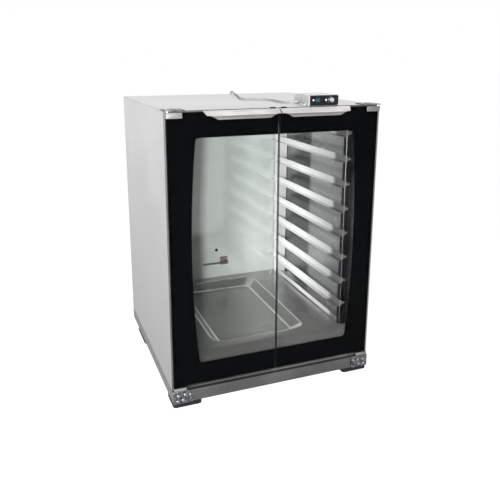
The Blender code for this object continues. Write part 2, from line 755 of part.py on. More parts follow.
def make_handle(word, side):
    """A bent plate over the top edge of the glass: a sloping facet, then a narrower hanging lip."""
    top = DOOR_TOP + GAP + HANDLE_SHEET
    lip_y = GLASS_FRONT - HANDLE_REACH
    lip_top = top - HANDLE_FACET_DROP
    facet_end = HANDLE_OUTER - HANDLE_FACET_TAPER
    lip_start, lip_end = HANDLE_INNER + HANDLE_LIP_NOTCH, facet_end - HANDLE_LIP_INSET
    clip_back = LAYER_FRONT + HANDLE_CLIP_SHEET
    rows = (
        (clip_back + GAP, top, HANDLE_INNER, HANDLE_OUTER),
        (GLASS_FRONT - FINE_ROUND, top, HANDLE_INNER, HANDLE_OUTER),
        (lip_y, lip_top, HANDLE_INNER, facet_end),
        (lip_y, lip_top, lip_start, lip_end),
        (lip_y, lip_top - HANDLE_LIP_HEIGHT, lip_start + HANDLE_LIP_TAPER, lip_end - HANDLE_LIP_TAPER),
    )
    shape = bmesh.new()
    back, crest, brow, hem, foot = [
        (shape.verts.new((side * inner, y, z)), shape.verts.new((side * outer, y, z))) for y, z, inner, outer in rows
    ]
    for corners in (
        (back[0], back[1], crest[1], crest[0]),
        (crest[0], crest[1], brow[1], hem[1], hem[0], brow[0]),
        (hem[0], hem[1], foot[1], foot[0]),
    ):
        shape.faces.new(corners if side < 0 else corners[::-1])
    plate = from_bmesh(shape, f"door_handle_{word}", "bright steel")
    thick = plate.modifiers.new("sheet", "SOLIDIFY")
    thick.thickness = HANDLE_SHEET
    thick.offset = -1
    thick.use_even_offset = True

    across = (HANDLE_INNER + HANDLE_CLIP_INSET, HANDLE_OUTER - HANDLE_CLIP_INSET)
    up = (top - HANDLE_CLIP_HEIGHT, top - HANDLE_SHEET / 2)
    join(plate, side_box(f"handle_clip_{word}", side, across, (LAYER_FRONT, clip_back), up))
    return plate


def pin(name, side, start, end):
    return rod(name, PIN_RADIUS, (side * PIVOT_X, PIVOT_Y, start), (side * PIVOT_X, PIVOT_Y, end))


def pin_hole(name, side, low, high):
    radius = PIN_RADIUS + PIN_CLEARANCE
    return rod(name, radius, (side * PIVOT_X, PIVOT_Y, low), (side * PIVOT_X, PIVOT_Y, high))


def make_upper_clamp(word, side):
    """Plates before and behind the glass, held together by the pivot block in the glass's notch."""
    outer, inner = DOOR_OUTER, DOOR_OUTER - UPPER_CLAMP_WIDTH
    block = outer - PIVOT_BLOCK + GAP
    outline = (
        (outer, CLAMP_FRONT),
        (outer, CLAMP_BACK),
        (inner, CLAMP_BACK),
        (inner, LAYER_FRONT),
        (block, LAYER_FRONT),
        (block, GLASS_FRONT - GAP),
        (inner, GLASS_FRONT - GAP),
        (inner, CLAMP_FRONT),
    )
    bottom = DOOR_TOP - UPPER_CLAMP_HEIGHT
    clamp = profile(f"upper_clamp_{word}", "xy", mirrored(side, outline), bottom, DOOR_TOP, "bright steel")
    cut(clamp, pin_hole(f"upper_pin_hole_{word}", side, DOOR_TOP - PIN_HOLE_DEPTH, DOOR_TOP + OVERRUN))
    return clamp


def make_lower_clamp(word, side):
    """A foot under the glass with the pivot hole, and a plate glued behind the glass."""
    low, high = BRACKET_TOP + GAP, DOOR_BOTTOM - GAP
    back_top = DOOR_BOTTOM + LOWER_CLAMP_BACK_HEIGHT
    outline = (
        (CLAMP_FRONT, low),
        (CLAMP_BACK, low),
        (CLAMP_BACK, back_top),
        (LAYER_FRONT, back_top),
        (LAYER_FRONT, high),
        (CLAMP_FRONT, high),
    )
    inner = DOOR_OUTER - LOWER_CLAMP_WIDTH
    clamp = profile(f"lower_clamp_{word}", "yz", outline, side * inner, side * DOOR_OUTER, "bright steel")
    cut(clamp, pin_hole(f"lower_pin_hole_{word}", side, low - OVERRUN, high - SHEET))
    return clamp


def make_brackets():
    for word, side in SIDES.items():
        make_top_bracket(word, side)
        make_bottom_bracket(word, side)


def make_top_bracket(word, side):
    low = HEIGHT + GAP
    high = low + BRACKET_SHEET
    inner = HALF_WIDTH - TOP_BRACKET_WIDTH
    back = FRAME_FRONT + TOP_BRACKET_REACH
    plate = side_box(
        f"top_hinge_bracket_{word}", side, (inner, HALF_WIDTH), (CLAMP_FRONT, back), (low, high), "galvanised steel"
    )
    tip = DOOR_TOP - PIN_HOLE_DEPTH + PIN_END_CLEARANCE
    join(plate, pin(f"top_pin_{word}", side, low + SCREW_SINK, tip))
    places = []
    for across, along in TOP_SCREW_SHARES:
        x = side * share_between(inner, HALF_WIDTH, across)
        places.append((x, share_between(FRAME_FRONT, back, along), high))
    add_screws(plate, f"top_bracket_{word}", places, (0, 0, 1))


def make_bottom_bracket(word, side):
    """An angle that is screwed to the chassis front, with the lower pivot pin on its ledge."""
    inner = HALF_WIDTH - BOTTOM_BRACKET_WIDTH
    back = GLASS_FRONT - GAP
    front = back - BRACKET_SHEET
    low = FOOT_HEIGHT + GAP
    ledge_bottom = CHASSIS_TOP + GAP
    ledge_back = front + BOTTOM_LEDGE_DEPTH
    outline = (
        (front, low),
        (back, low),
        (back, ledge_bottom),
        (ledge_back, ledge_bottom),
        (ledge_back, BRACKET_TOP),
        (front, BRACKET_TOP),
    )
    name = f"bottom_hinge_bracket_{word}"
    plate = profile(name, "yz", outline, side * inner, side * HALF_WIDTH, "galvanised steel")
    tip = DOOR_BOTTOM - GAP - SHEET - PIN_END_CLEARANCE
    join(plate, pin(f"bottom_pin_{word}", side, BRACKET_TOP - SCREW_SINK, tip))
    places = []
    for across, up in BOTTOM_SCREW_SHARES:
        x = side * share_between(inner, HALF_WIDTH, across)
        places.append((x, front, share_between(low, CHASSIS_TOP, up)))
    add_screws(plate, f"bottom_bracket_{word}", places, (0, -1, 0))


def make_pod():
    """The control pod: a folded housing, open in front, and its black fascia with the controls."""
    left, right = POD_LEFT, POD_LEFT + POD_WIDTH
    top = POD_BOTTOM + POD_HEIGHT
    shell_bottom = POD_BOTTOM + GAP
    housing = box("control_housing", (left, POD_FRONT, shell_bottom), (right, POD_REAR, top), "polished steel")
    hollow = box(
        "pod_hollow",
        (left + POD_SHEET, POD_FRONT - OVERRUN, POD_BOTTOM - OVERRUN),
        (right - POD_SHEET, POD_REAR - POD_SHEET, top - POD_SHEET),
    )
    cut(housing, hollow)
    flange_front = POD_FRONT + POD_FLANGE_SETBACK
    places = []
    for name, edge, sign in (("left", left, -1), ("right", right, 1)):
        low_x, high_x = sorted((edge - sign * POD_SHEET / 2, edge + sign * POD_FLANGE_WIDTH))
        flange = box(
            f"pod_flange_{name}",
            (low_x, flange_front, POD_BOTTOM),
            (high_x, flange_front + POD_FLANGE_LENGTH, POD_BOTTOM + POD_SHEET),
        )
        join(housing, flange)
        for share in (1 / 4, 3 / 4):
            y = flange_front + POD_FLANGE_LENGTH * share
            places.append((edge + sign * POD_FLANGE_WIDTH / 2, y, POD_BOTTOM + POD_SHEET))
    add_screws(housing, "pod", places, (0, 0, 1))
    make_fascia()
    make_controls()


def make_fascia():
    half_x = POD_WIDTH / 2 - POD_SHEET - GAP
    half_z = (POD_HEIGHT - POD_SHEET - GAP) / 2
    face = POD_FRONT - FASCIA_PROUD
    outline = []
    for x, z in rounded_rectangle(half_x, half_z, FASCIA_CORNER_RADIUS, FASCIA_CORNER_STEPS):
        outline.append((POD_CENTRE_X + x, POD_BOTTOM + half_z + z))
    fascia = profile("control_fascia", "xz", outline, face, face + FASCIA_THICKNESS, "black plastic")
    front, back = face - OVERRUN, face + FASCIA_THICKNESS + OVERRUN
    for name, offset, radius in (
        ("shaft_hole", KNOB_OFFSET, SHAFT_RADIUS),
        ("power_lamp_hole", POWER_LAMP_OFFSET, LAMP_RADIUS),
        ("heat_lamp_hole", HEAT_LAMP_OFFSET, LAMP_RADIUS),
    ):
        x = POD_CENTRE_X + offset
        cut(fascia, rod(name, radius + HOLE_CLEARANCE, (x, front, CONTROL_Z), (x, back, CONTROL_Z)))
    x = POD_CENTRE_X + SWITCH_OFFSET
    half_width = SWITCH_WIDTH / 2 + SWITCH_CLEARANCE
    half_height = SWITCH_HEIGHT / 2 + HOLE_CLEARANCE
    slot = box(
        "switch_slot",
        (x - half_width, front, CONTROL_Z - half_height),
        (x + half_width, back, CONTROL_Z + half_height),
    )
    cut(fascia, slot)


def make_controls():
    face = POD_FRONT - FASCIA_PROUD
    back = face + FASCIA_THICKNESS
    for name, offset in (("power_lamp", POWER_LAMP_OFFSET), ("heat_lamp", HEAT_LAMP_OFFSET)):
        x = POD_CENTRE_X + offset
        lamp = rod(name, LAMP_RADIUS, (x, face - LAMP_PROUD, CONTROL_Z), (x, back, CONTROL_Z), "clear lamp")
        round_edges(lamp, FINE_ROUND)

    x = POD_CENTRE_X + KNOB_OFFSET
    knob = rod(
        "thermostat_knob",
        KNOB_RADIUS,
        (x, face - GAP - KNOB_LENGTH, CONTROL_Z),
        (x, face - GAP, CONTROL_Z),
        "bright steel",
        KNOB_SIDES,
    )
    round_edges(knob, FINE_ROUND * 2)
    shaft_front = face - GAP - KNOB_LENGTH / 2
    join(knob, rod("knob_shaft", SHAFT_RADIUS, (x, shaft_front, CONTROL_Z), (x, back + SHAFT_LENGTH, CONTROL_Z)))
    pointer = box(
        "knob_pointer",
        (x - FINE_ROUND, face - GAP - KNOB_LENGTH - FINE_ROUND, CONTROL_Z + KNOB_RADIUS / 4),
        (x + FINE_ROUND, face - KNOB_LENGTH / 2, CONTROL_Z + KNOB_RADIUS * 3 / 4),
    )
    join(knob, pointer)

    x = POD_CENTRE_X + SWITCH_OFFSET
    rocker = box(
        "power_switch",
        (x - SWITCH_WIDTH / 2, face - SWITCH_PROUD, CONTROL_Z - SWITCH_HEIGHT / 2),
        (x + SWITCH_WIDTH / 2, face - SWITCH_PROUD + SWITCH_DEPTH, CONTROL_Z + SWITCH_HEIGHT / 2),
        "lit green",
    )
    round_edges(rocker, FINE_ROUND)
    rocker.rotation_euler = (0, 0, -SWITCH_TILT)


def make_heater():
    """A hairpin heating rod that lies against the underside of the basin."""
    level = BASIN_OUTER_BOTTOM - GAP - HEATER_RADIUS
    front = FRAME_FRONT + BASIN_FRONT + BASIN_SLOPE + HEATER_END_INSET
    rear = LINER_REAR - BASIN_REAR_AIR - BASIN_SLOPE - HEATER_END_INSET
    radius = HEATER_HALF_SPAN / 3
    lanes = [BASIN_CENTRE_X + radius * share for share in (-3, -1, 1, 3)]
    path = [(lanes[0], front)]
    for number, (near, far) in enumerate(zip(lanes, lanes[1:])):
        at_rear = number % 2 == 0
        y = rear if at_rear else front
        for step in range(HEATER_TURN_STEPS + 1):
            angle = math.pi * step / HEATER_TURN_STEPS
            reach = radius * math.sin(angle)
            path.append(((near + far) / 2 - radius * math.cos(angle), y + reach if at_rear else y - reach))
    path.append((lanes[-1], front))
    curve = bpy.data.curves.new("basin_heater", "CURVE")
    curve.dimensions = "3D"
    curve.bevel_depth = HEATER_RADIUS
    curve.bevel_resolution = 1
    curve.use_fill_caps = True
    spline = curve.splines.new("POLY")
    spline.points.add(len(path) - 1)
    for point, (x, y) in zip(spline.points, path):
        point.co = (x, y, level, 1.0)
    adopt(bpy.data.objects.new("basin_heater", curve), "basin_heater", "galvanised steel")


def make_probe():
    """The thermostat's bulb across the rear wall, with its clip."""
    y = LINER_REAR - PROBE_WALL_AIR - PROBE_RADIUS
    probe = rod(
        "temperature_probe",
        PROBE_RADIUS,
        (PROBE_START_X, y, PROBE_LEVEL),
        (PROBE_START_X + PROBE_LENGTH, y, PROBE_LEVEL),
        "galvanised steel",
        12,
    )
    width, depth, height = PROBE_CLIP_SIZE
    x = PROBE_START_X + PROBE_LENGTH / 2 + PROBE_CLIP_SHIFT
    clip = box(
        "probe_clip",
        (x - width / 2, LINER_REAR - GAP - depth, PROBE_LEVEL - PROBE_RADIUS - RACK_SHEET),
        (x + width / 2, LINER_REAR - GAP, PROBE_LEVEL - PROBE_RADIUS - RACK_SHEET + height),
    )
    join(probe, clip)


def make_glands():
    y, z = POD_REAR - GLAND_REAR_INSET, POD_BOTTOM + GLAND_LIFT
    right = POD_LEFT - GAP
    rod("control_gland", GLAND_RADIUS, (right - GLAND_LENGTH, y, z), (right, y, z), "black rubber", ROUND_SIDES)
    x, z = REAR_GLAND_X, REAR_GLAND_LEVEL
    gland = rod(
        "rear_gland",
        REAR_GLAND_NUT_RADIUS,
        (x, REAR + GAP, z),
        (x, REAR + GAP + REAR_GLAND_NUT_LENGTH, z),
        "black plastic",
        6,
    )
    join(gland, rod("gland_neck", REAR_GLAND_RADIUS, (x, REAR + SHEET, z), (x, REAR + REAR_GLAND_LENGTH, z), sides=14))


def smooth_route(points, step):
    """Points along a smooth curve through a route, about one step apart."""
    route = [Vector(point) for point in points]
    ends = [route[0] * 2 - route[1]] + route + [route[-1] * 2 - route[-2]]
    fine = []
    for a, b, c, d in zip(ends, ends[1:], ends[2:], ends[3:]):
        count = max(1, round((c - b).length / step))
        for number in range(count):
            t = number / count
            fine.append(
                ((b * 2) + (c - a) * t + (a * 2 - b * 5 + c * 4 - d) * t**2 + (b * 3 - a - c * 3 + d) * t**3) / 2
            )
    fine.append(route[-1])
    return fine


def make_cable():
    """The grey lead from the pod across the top, over the rear edge and down to its gland."""
    left = POD_LEFT - GLAND_LENGTH - 2 * GAP
    y, z = POD_REAR - GLAND_REAR_INSET, POD_BOTTOM + GLAND_LIFT
    lying = HEIGHT + GAP + CABLE_RADIUS
    end_y = REAR + REAR_GLAND_LENGTH + GAP
    route = [(left, y, z), (left - CABLE_STRAIGHT, y, z - CABLE_DIP)]
    route += [(POD_LEFT - x, FRAME_FRONT + y, lying + z) for x, y, z in CABLE_ON_TOP]
    route += [(POD_LEFT - x, REAR + y, lying - z) for x, y, z in CABLE_BEHIND]
    route += [(REAR_GLAND_X, end_y + CABLE_RUN_IN, REAR_GLAND_LEVEL), (REAR_GLAND_X, end_y, REAR_GLAND_LEVEL)]
    points = smooth_route(route, CABLE_STEP)
    curve = bpy.data.curves.new("control_cable", "CURVE")
    curve.dimensions = "3D"
    curve.bevel_depth = CABLE_RADIUS
    curve.bevel_resolution = 2
    curve.use_fill_caps = True
    spline = curve.splines.new("POLY")
    spline.points.add(len(points) - 1)
    for point, place in zip(spline.points, points):
        point.co = (*place, 1.0)
    adopt(bpy.data.objects.new("control_cable", curve), "control_cable", "grey cable")


make_outer_panels()
make_chassis()
make_liner()
make_insulation()
make_seal()
make_catch()
make_racks()
make_doors()
make_brackets()
make_pod()
make_heater()
make_probe()
make_glands()
make_cable()
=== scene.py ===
import math

import bmesh
import bpy
from mathutils import Matrix, Vector


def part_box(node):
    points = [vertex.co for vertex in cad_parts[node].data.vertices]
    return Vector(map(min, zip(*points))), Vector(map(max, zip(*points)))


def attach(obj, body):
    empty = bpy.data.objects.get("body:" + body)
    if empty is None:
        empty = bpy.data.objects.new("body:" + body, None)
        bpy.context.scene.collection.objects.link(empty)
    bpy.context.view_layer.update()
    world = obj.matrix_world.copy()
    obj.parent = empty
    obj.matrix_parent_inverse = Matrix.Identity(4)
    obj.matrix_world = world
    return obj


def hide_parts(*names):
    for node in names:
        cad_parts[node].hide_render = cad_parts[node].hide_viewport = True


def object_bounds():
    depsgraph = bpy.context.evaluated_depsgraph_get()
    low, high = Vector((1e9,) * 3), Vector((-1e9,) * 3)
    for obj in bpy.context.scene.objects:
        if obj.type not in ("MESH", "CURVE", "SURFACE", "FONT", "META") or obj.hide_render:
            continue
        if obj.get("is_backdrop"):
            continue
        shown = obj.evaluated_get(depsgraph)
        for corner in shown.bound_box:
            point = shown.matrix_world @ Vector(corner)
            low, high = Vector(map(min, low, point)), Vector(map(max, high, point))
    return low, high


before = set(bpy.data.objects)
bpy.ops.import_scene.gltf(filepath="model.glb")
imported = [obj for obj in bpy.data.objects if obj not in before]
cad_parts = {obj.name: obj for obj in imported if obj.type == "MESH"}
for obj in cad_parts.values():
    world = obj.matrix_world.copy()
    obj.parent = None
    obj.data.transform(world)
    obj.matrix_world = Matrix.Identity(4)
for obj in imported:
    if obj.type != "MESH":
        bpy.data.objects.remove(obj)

CAD_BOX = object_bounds()

# The photograph's camera: where it stands, how far it turns right and down, and its lens in pixels of a 500 frame
EYE = (-0.58359, -1.56585, 0.87855)
TURN, TILT = 0.36, 0.24047
LENS, CENTRE_ACROSS, CENTRE_DOWN = 578.13, 241.786, 198.0

# The cable's route from the pod's gland across the top and down to the rear gland
CABLE_ROUTE = (
    (0.0929, -0.1665, 0.7625), (0.0849, -0.1665, 0.7620), (0.0740, -0.1545, 0.7602), (0.0700, -0.1165, 0.7598),
    (0.0720, -0.0665, 0.7598), (0.0620, -0.0305, 0.7598), (0.0420, -0.0195, 0.7598), (0.0210, -0.0105, 0.7598),
    (0.0110, 0.0215, 0.7598), (0.0295, 0.0935, 0.7598), (0.0500, 0.1635, 0.7598), (0.0665, 0.2315, 0.7604),
    (0.0720, 0.2665, 0.7640), (0.0745, 0.2845, 0.7628), (0.0750, 0.2945, 0.7478), (0.0750, 0.2975, 0.7198),
    (0.0750, 0.3035, 0.6798), (0.0750, 0.3075, 0.6578), (0.0750, 0.3045, 0.6421), (0.0750, 0.2968, 0.6400),
    (0.0750, 0.2918, 0.6400),
)
CABLE_DIAMETER = 0.005

# Planes and sizes of the cabinet that several pieces share
HALF_WIDTH = 0.285
FRAME_FRONT, REAR = -0.2665, 0.2785
LINER_HALF = 0.265
FLOOR_LEVEL, CEILING_LEVEL, TOP = 0.120, 0.718, 0.757
SHEET = 0.001
RACK_SHEET = 0.0012
TOP_RUNNER_LEVEL, RUNNER_PITCH, LEVELS = 0.670, 0.070, 8
SIDES = {"left": -1, "right": 1}
PIVOT_X, PIVOT_Y = 0.278, -0.2750
PIN, PIN_HOLE = 0.0021, 0.0024
GLASS_BACK = -0.2705
CONTROL_LEVEL, KNOB_X = 0.770, 0.1575
WALL_FACE = 0.2635

UP = Vector((0, 0, 1))
TO_FRONT = Vector((0, -1, 0))
TO_REAR = Vector((0, 1, 0))


# Shaping


def rest():
    """Leave edit mode and let go of every object."""
    if bpy.context.object and bpy.context.object.mode == "EDIT":
        bpy.ops.object.mode_set(mode="OBJECT")
    bpy.ops.object.select_all(action="DESELECT")


def hold(piece):
    rest()
    piece.select_set(True)
    bpy.context.view_layer.objects.active = piece


def take(name):
    """Name the primitive that was just added, and put its place into its mesh."""
    piece = bpy.context.object
    piece.name = piece.data.name = name
    bpy.ops.object.transform_apply(location=True, rotation=True, scale=True)
    return piece


def block(name, low, high):
    """A block between two opposite corners, to start a piece from."""
    rest()
    bpy.ops.mesh.primitive_cube_add(size=1, location=[(a + b) / 2 for a, b in zip(low, high)])
    bpy.context.object.scale = [abs(b - a) for a, b in zip(low, high)]
    return take(name)


def side_block(name, side, across, along, up):
    """A block on one side, with its X range measured outwards from the middle."""
    low_x, high_x = sorted((side * across[0], side * across[1]))
    return block(name, (low_x, along[0], up[0]), (high_x, along[1], up[1]))


def pick(piece, kind, test=lambda part: True):
    """Go into edit mode with just those corners, edges or faces selected that pass a test, or with all of them."""
    hold(piece)
    bpy.ops.object.mode_set(mode="EDIT")
    bpy.ops.mesh.select_mode(type=kind)
    bpy.ops.mesh.select_all(action="DESELECT")
    mesh = bmesh.from_edit_mesh(piece.data)
    for part in {"VERT": mesh.verts, "EDGE": mesh.edges, "FACE": mesh.faces}[kind]:
        if test(part):
            part.select_set(True)
    bmesh.update_edit_mesh(piece.data)


def middle(edge):
    return (edge.verts[0].co + edge.verts[1].co) / 2


def along(edge, axis):
    run = edge.verts[1].co - edge.verts[0].co
    return abs(run.normalized()[axis]) > 0.999


def push(step):
    bpy.ops.mesh.extrude_region_move(TRANSFORM_OT_translate={"value": step})


def sink(piece, test, border, step):
    """Draw a border inside the faces that pass a test, and push in what it encloses."""
    pick(piece, "FACE", test)
    bpy.ops.mesh.inset(thickness=border)
    push(step)
    rest()


def press(piece, test, margin, border, depth):
    """Press a field into the faces that pass a test, inside a flat margin and a sloping border."""
    pick(piece, "FACE", test)
    bpy.ops.mesh.inset(thickness=margin, depth=0)
    bpy.ops.mesh.inset(thickness=border, depth=-depth)
    rest()


def round_edges(piece, test, radius, steps=4):
    pick(piece, "EDGE", test)
    bpy.ops.mesh.bevel(offset=radius, segments=steps, affect="EDGES")
    rest()


def apply_modifiers(piece):
    hold(piece)
    for modifier in list(piece.modifiers):
        bpy.ops.object.modifier_apply(modifier=modifier.name)


def soften(piece, radius, steps=2, angle=60):
    """Round every edge of a piece that is sharper than an angle a little."""
    edge = piece.modifiers.new("soft edges", "BEVEL")
    edge.width = radius
    edge.segments = steps
    edge.limit_method = "ANGLE"
    edge.angle_limit = math.radians(angle)
    apply_modifiers(piece)


def break_edges(piece, steps=1, radius=0.0003):
    """Take the sharpness off the cut edges of a sheet, and leave its bends."""
    soften(piece, radius, steps, 70)


def thicken(piece, thickness, side):
    wall = piece.modifiers.new("sheet", "SOLIDIFY")
    wall.thickness = thickness
    wall.offset = side
    wall.use_even_offset = True
    apply_modifiers(piece)


def cut(piece, cutters):
    """Take the cutters out of a piece, and throw them away."""
    for number, cutter in enumerate(cutters):
        saw = piece.modifiers.new(f"cut {number}", "BOOLEAN")
        saw.operation = "DIFFERENCE"
        saw.solver = "EXACT"
        saw.object = cutter
    apply_modifiers(piece)
    for cutter in cutters:
        bpy.data.objects.remove(cutter, do_unlink=True)


def unite(piece, others):
    """Make several objects one piece, each keeping its own finish."""
    rest()
    for other in others:
        other.select_set(True)
    piece.select_set(True)
    bpy.context.view_layer.objects.active = piece
    bpy.ops.object.join()
    return piece


def close_up(piece):
    """Merge what coincides and turn every face outwards."""
    pick(piece, "VERT")
    bpy.ops.mesh.remove_doubles(threshold=0.000005)
    bpy.ops.mesh.normals_make_consistent(inside=False)
    rest()


def even_out(sheet):
    """Turn all faces of an open sheet to the same side."""
    pick(sheet, "FACE")
    bpy.ops.mesh.normals_make_consistent(inside=False)
    rest()


def thicken_below(sheet, thickness):
    """Thicken a sheet downwards, whichever side its faces are turned to."""
    upward = sum(face.normal.z * face.area for face in sheet.data.polygons) > 0
    thicken(sheet, thickness, -1 if upward else 1)


def divide(sheet, places):
    """Divide a sheet across at some places along X."""
    for x in places:
        pick(sheet, "FACE")
        bpy.ops.mesh.bisect(plane_co=(x, 0, 0), plane_no=(1, 0, 0))
        rest()


def new_object(name, data):
    """A new object in the scene."""
    item = bpy.data.objects.new(name, data)
    bpy.context.scene.collection.objects.link(item)
    return item


def copy_of(piece, name, place):
    """A copy with a mesh of its own, moved by a matrix."""
    copy = new_object(name, piece.data.copy())
    copy.data.name = name
    copy.data.transform(place)
    if place.determinant() < 0:
        copy.data.flip_normals()
    return copy


def folded_sheet(name, line, drawn, thickness, bend, side, steps=4):
    """A sheet drawn along one vector from a folded line, with round bends and its thickness to one side."""
    line, drawn = [Vector(point) for point in line], Vector(drawn)
    rest()
    bpy.ops.mesh.primitive_plane_add(size=1)
    sheet = take(name)
    for corner, place in zip(sheet.data.vertices, (line[0], line[0] + drawn, line[1], line[1] + drawn)):
        corner.co = place
    for near, far in zip(line[1:], line[2:]):
        pick(sheet, "EDGE", lambda edge: (middle(edge) - near - drawn / 2).length < 1e-5)
        push(far - near)
        rest()
    folds = [point + drawn / 2 for point in line[1:-1]]
    if folds:
        round_edges(sheet, lambda edge: any((middle(edge) - fold).length < 1e-5 for fold in folds), bend, steps)
    if thickness:
        thicken(sheet, thickness, side)
    return sheet


def turned(name, stations, place, direction, sides=32):
    """A turned piece: circles of given radius at distances along an axis, closed at both ends."""
    start, radius = stations[0]
    rest()
    bpy.ops.mesh.primitive_circle_add(vertices=sides, radius=radius, fill_type="NGON", location=(0, 0, start))
    piece = take(name)
    pick(piece, "FACE")
    for (near, now), (far, then) in zip(stations, stations[1:]):
        push((0, 0, far - near))
        bpy.ops.transform.resize(value=(then / now, then / now, 1))
    rest()
    aim = Vector(direction).to_track_quat("Z", "Y").to_matrix().to_4x4()
    piece.data.transform(Matrix.Translation(place) @ aim)
    close_up(piece)
    return piece


def coat(piece, finish):
    piece.data.materials.clear()
    piece.data.materials.append(finish)
    return piece


def coat_where(piece, finish, test):
    """A second finish on those faces of a coated piece that pass a test."""
    piece.data.materials.append(finish)
    for face in piece.data.polygons:
        face.material_index = 1 if test(face) else 0
    return piece


def fit(piece, node, body="cabinet"):
    """Smooth a finished piece and hang it on its body, in place of its CAD node."""
    hold(piece)
    bpy.ops.object.shade_smooth_by_angle(angle=math.radians(35))
    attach(piece, body)
    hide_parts(node)


# Finishes


def new_finish(name, colour, roughness, metallic=0.0, specular=0.5):
    """A finish with its even values on the shader, and its node tree to add a pattern to."""
    finish = bpy.data.materials.new(name)
    finish.use_nodes = True
    shader = finish.node_tree.nodes["Principled BSDF"]
    shader.inputs["Base Color"].default_value = (*colour, 1)
    shader.inputs["Roughness"].default_value = roughness
    shader.inputs["Metallic"].default_value = metallic
    shader.inputs["Specular IOR Level"].default_value = specular
    return finish, finish.node_tree, shader


def add_node(tree, kind, **values):
    """A new node with its input values, an underscore standing for the space in an input's name."""
    node = tree.nodes.new(f"ShaderNode{kind}")
    for name, value in values.items():
        node.inputs[name.replace("_", " ")].default_value = value
    return node


def feed(node, name, source):
    """Link what comes out of one node to an input of another."""
    node.id_data.links.new(source, node.inputs[name])


def own_place(tree):
    """Places measured on the piece itself."""
    return add_node(tree, "TexCoord").outputs["Object"]


def grain(tree, scale, detail=3.0, turn=(0, 0, 0)):
    """Noise on the piece, with its own scale along each axis."""
    stretch = add_node(tree, "Mapping", Scale=scale, Rotation=turn)
    feed(stretch, "Vector", own_place(tree))
    noise = add_node(tree, "TexNoise", Scale=1.0, Detail=detail)
    feed(noise, "Vector", stretch.outputs["Vector"])
    return noise.outputs["Fac"]


def spread(tree, source, low, high, start=0.3, end=0.7):
    """The pattern's middle range spread between two values."""
    ramp = add_node(tree, "MapRange", From_Min=start, From_Max=end, To_Min=low, To_Max=high)
    feed(ramp, "Value", source)
    return ramp.outputs["Result"]


def between(tree, source, dark, light):
    """Two colours mixed by a pattern."""
    mix = add_node(tree, "Mix")
    mix.data_type = "RGBA"
    mix.inputs["A"].default_value = (*dark, 1)
    mix.inputs["B"].default_value = (*light, 1)
    feed(mix, "Factor", source)
    return mix.outputs["Result"]


def blended(tree, first, second, share):
    """Two patterns weighed into one."""
    mix = add_node(tree, "Mix", Factor=share)
    feed(mix, "A", first)
    feed(mix, "B", second)
    return mix.outputs["Result"]


def dull(tree, colour, axis, start, end, share):
    """Painted shade: a colour that goes down to a share of itself from one place to another along an axis of the piece.
    """
    parts = add_node(tree, "SeparateXYZ")
    feed(parts, "Vector", own_place(tree))
    shade = add_node(tree, "Mix")
    shade.data_type = "RGBA"
    shade.blend_type = "MULTIPLY"
    shade.inputs["B"].default_value = (share, share, share, 1)
    feed(shade, "Factor", spread(tree, parts.outputs[axis], 0, 1, start, end))
    feed(shade, "A", colour)
    return shade.outputs["Result"]


def emboss(tree, source, shader, strength, depth):
    bump = add_node(tree, "Bump", Strength=strength, Distance=depth)
    feed(bump, "Height", source)
    feed(shader, "Normal", bump.outputs["Normal"])


def brushed_steel(name, dark, light, roughness, lines, clouds, line_share, bump, metallic=1.0, painted_shade=()):
    """Stainless sheet: fine lines of the brush along one axis over soft clouds of handling and rolling, and any painted
    shade.
    """
    finish, tree, shader = new_finish(name, light, roughness[0], metallic=metallic)
    fine = grain(tree, lines, 2.0)
    soft = grain(tree, clouds, 4.0)
    wear = blended(tree, soft, fine, line_share)
    colour = between(tree, spread(tree, wear, 0, 1), dark, light)
    # Painted shade along an axis, where the steel is given some
    for change in painted_shade:
        colour = dull(tree, colour, *change)
    feed(shader, "Base Color", colour)
    feed(shader, "Roughness", spread(tree, wear, *roughness))
    emboss(tree, fine, shader, bump, 0.0004)
    return finish


def zinc_plate(name):
    """Galvanised plate: small spangles of light and dark grey, with a dull bloom."""
    finish, tree, shader = new_finish(name, (0.55, 0.56, 0.57), 0.4, metallic=1.0)
    spangle = add_node(tree, "TexVoronoi", Scale=260)
    feed(spangle, "Vector", own_place(tree))
    flakes = add_node(tree, "RGBToBW")
    feed(flakes, "Color", spangle.outputs["Color"])
    bloom = grain(tree, (60, 60, 60), 4.0)
    mixed = blended(tree, flakes.outputs["Val"], bloom, 0.45)
    feed(shader, "Base Color", between(tree, spread(tree, mixed, 0, 1), (0.02, 0.02, 0.022), (0.20, 0.205, 0.21)))
    feed(shader, "Roughness", spread(tree, mixed, 0.5, 0.3))
    emboss(tree, bloom, shader, 0.15, 0.0004)
    return finish


def moulded(name, dark, light, roughness, scale, bump, metallic=0.0, specular=0.4, glow=0.0):
    """Moulded or coated stuff: a fine skin texture, and a faint change of tone over the piece."""
    finish, tree, shader = new_finish(name, light, roughness[0], metallic=metallic, specular=specular)
    skin = grain(tree, (scale, scale, scale))
    soft = grain(tree, (18, 18, 18))
    tone = blended(tree, soft, skin, 0.4)
    colour = between(tree, spread(tree, tone, 0, 1), dark, light)
    feed(shader, "Base Color", colour)
    feed(shader, "Roughness", spread(tree, tone, *roughness))
    emboss(tree, skin, shader, bump, 0.0003)
    if glow:
        feed(shader, "Emission Color", colour)
        shader.inputs["Emission Strength"].default_value = glow
    return finish


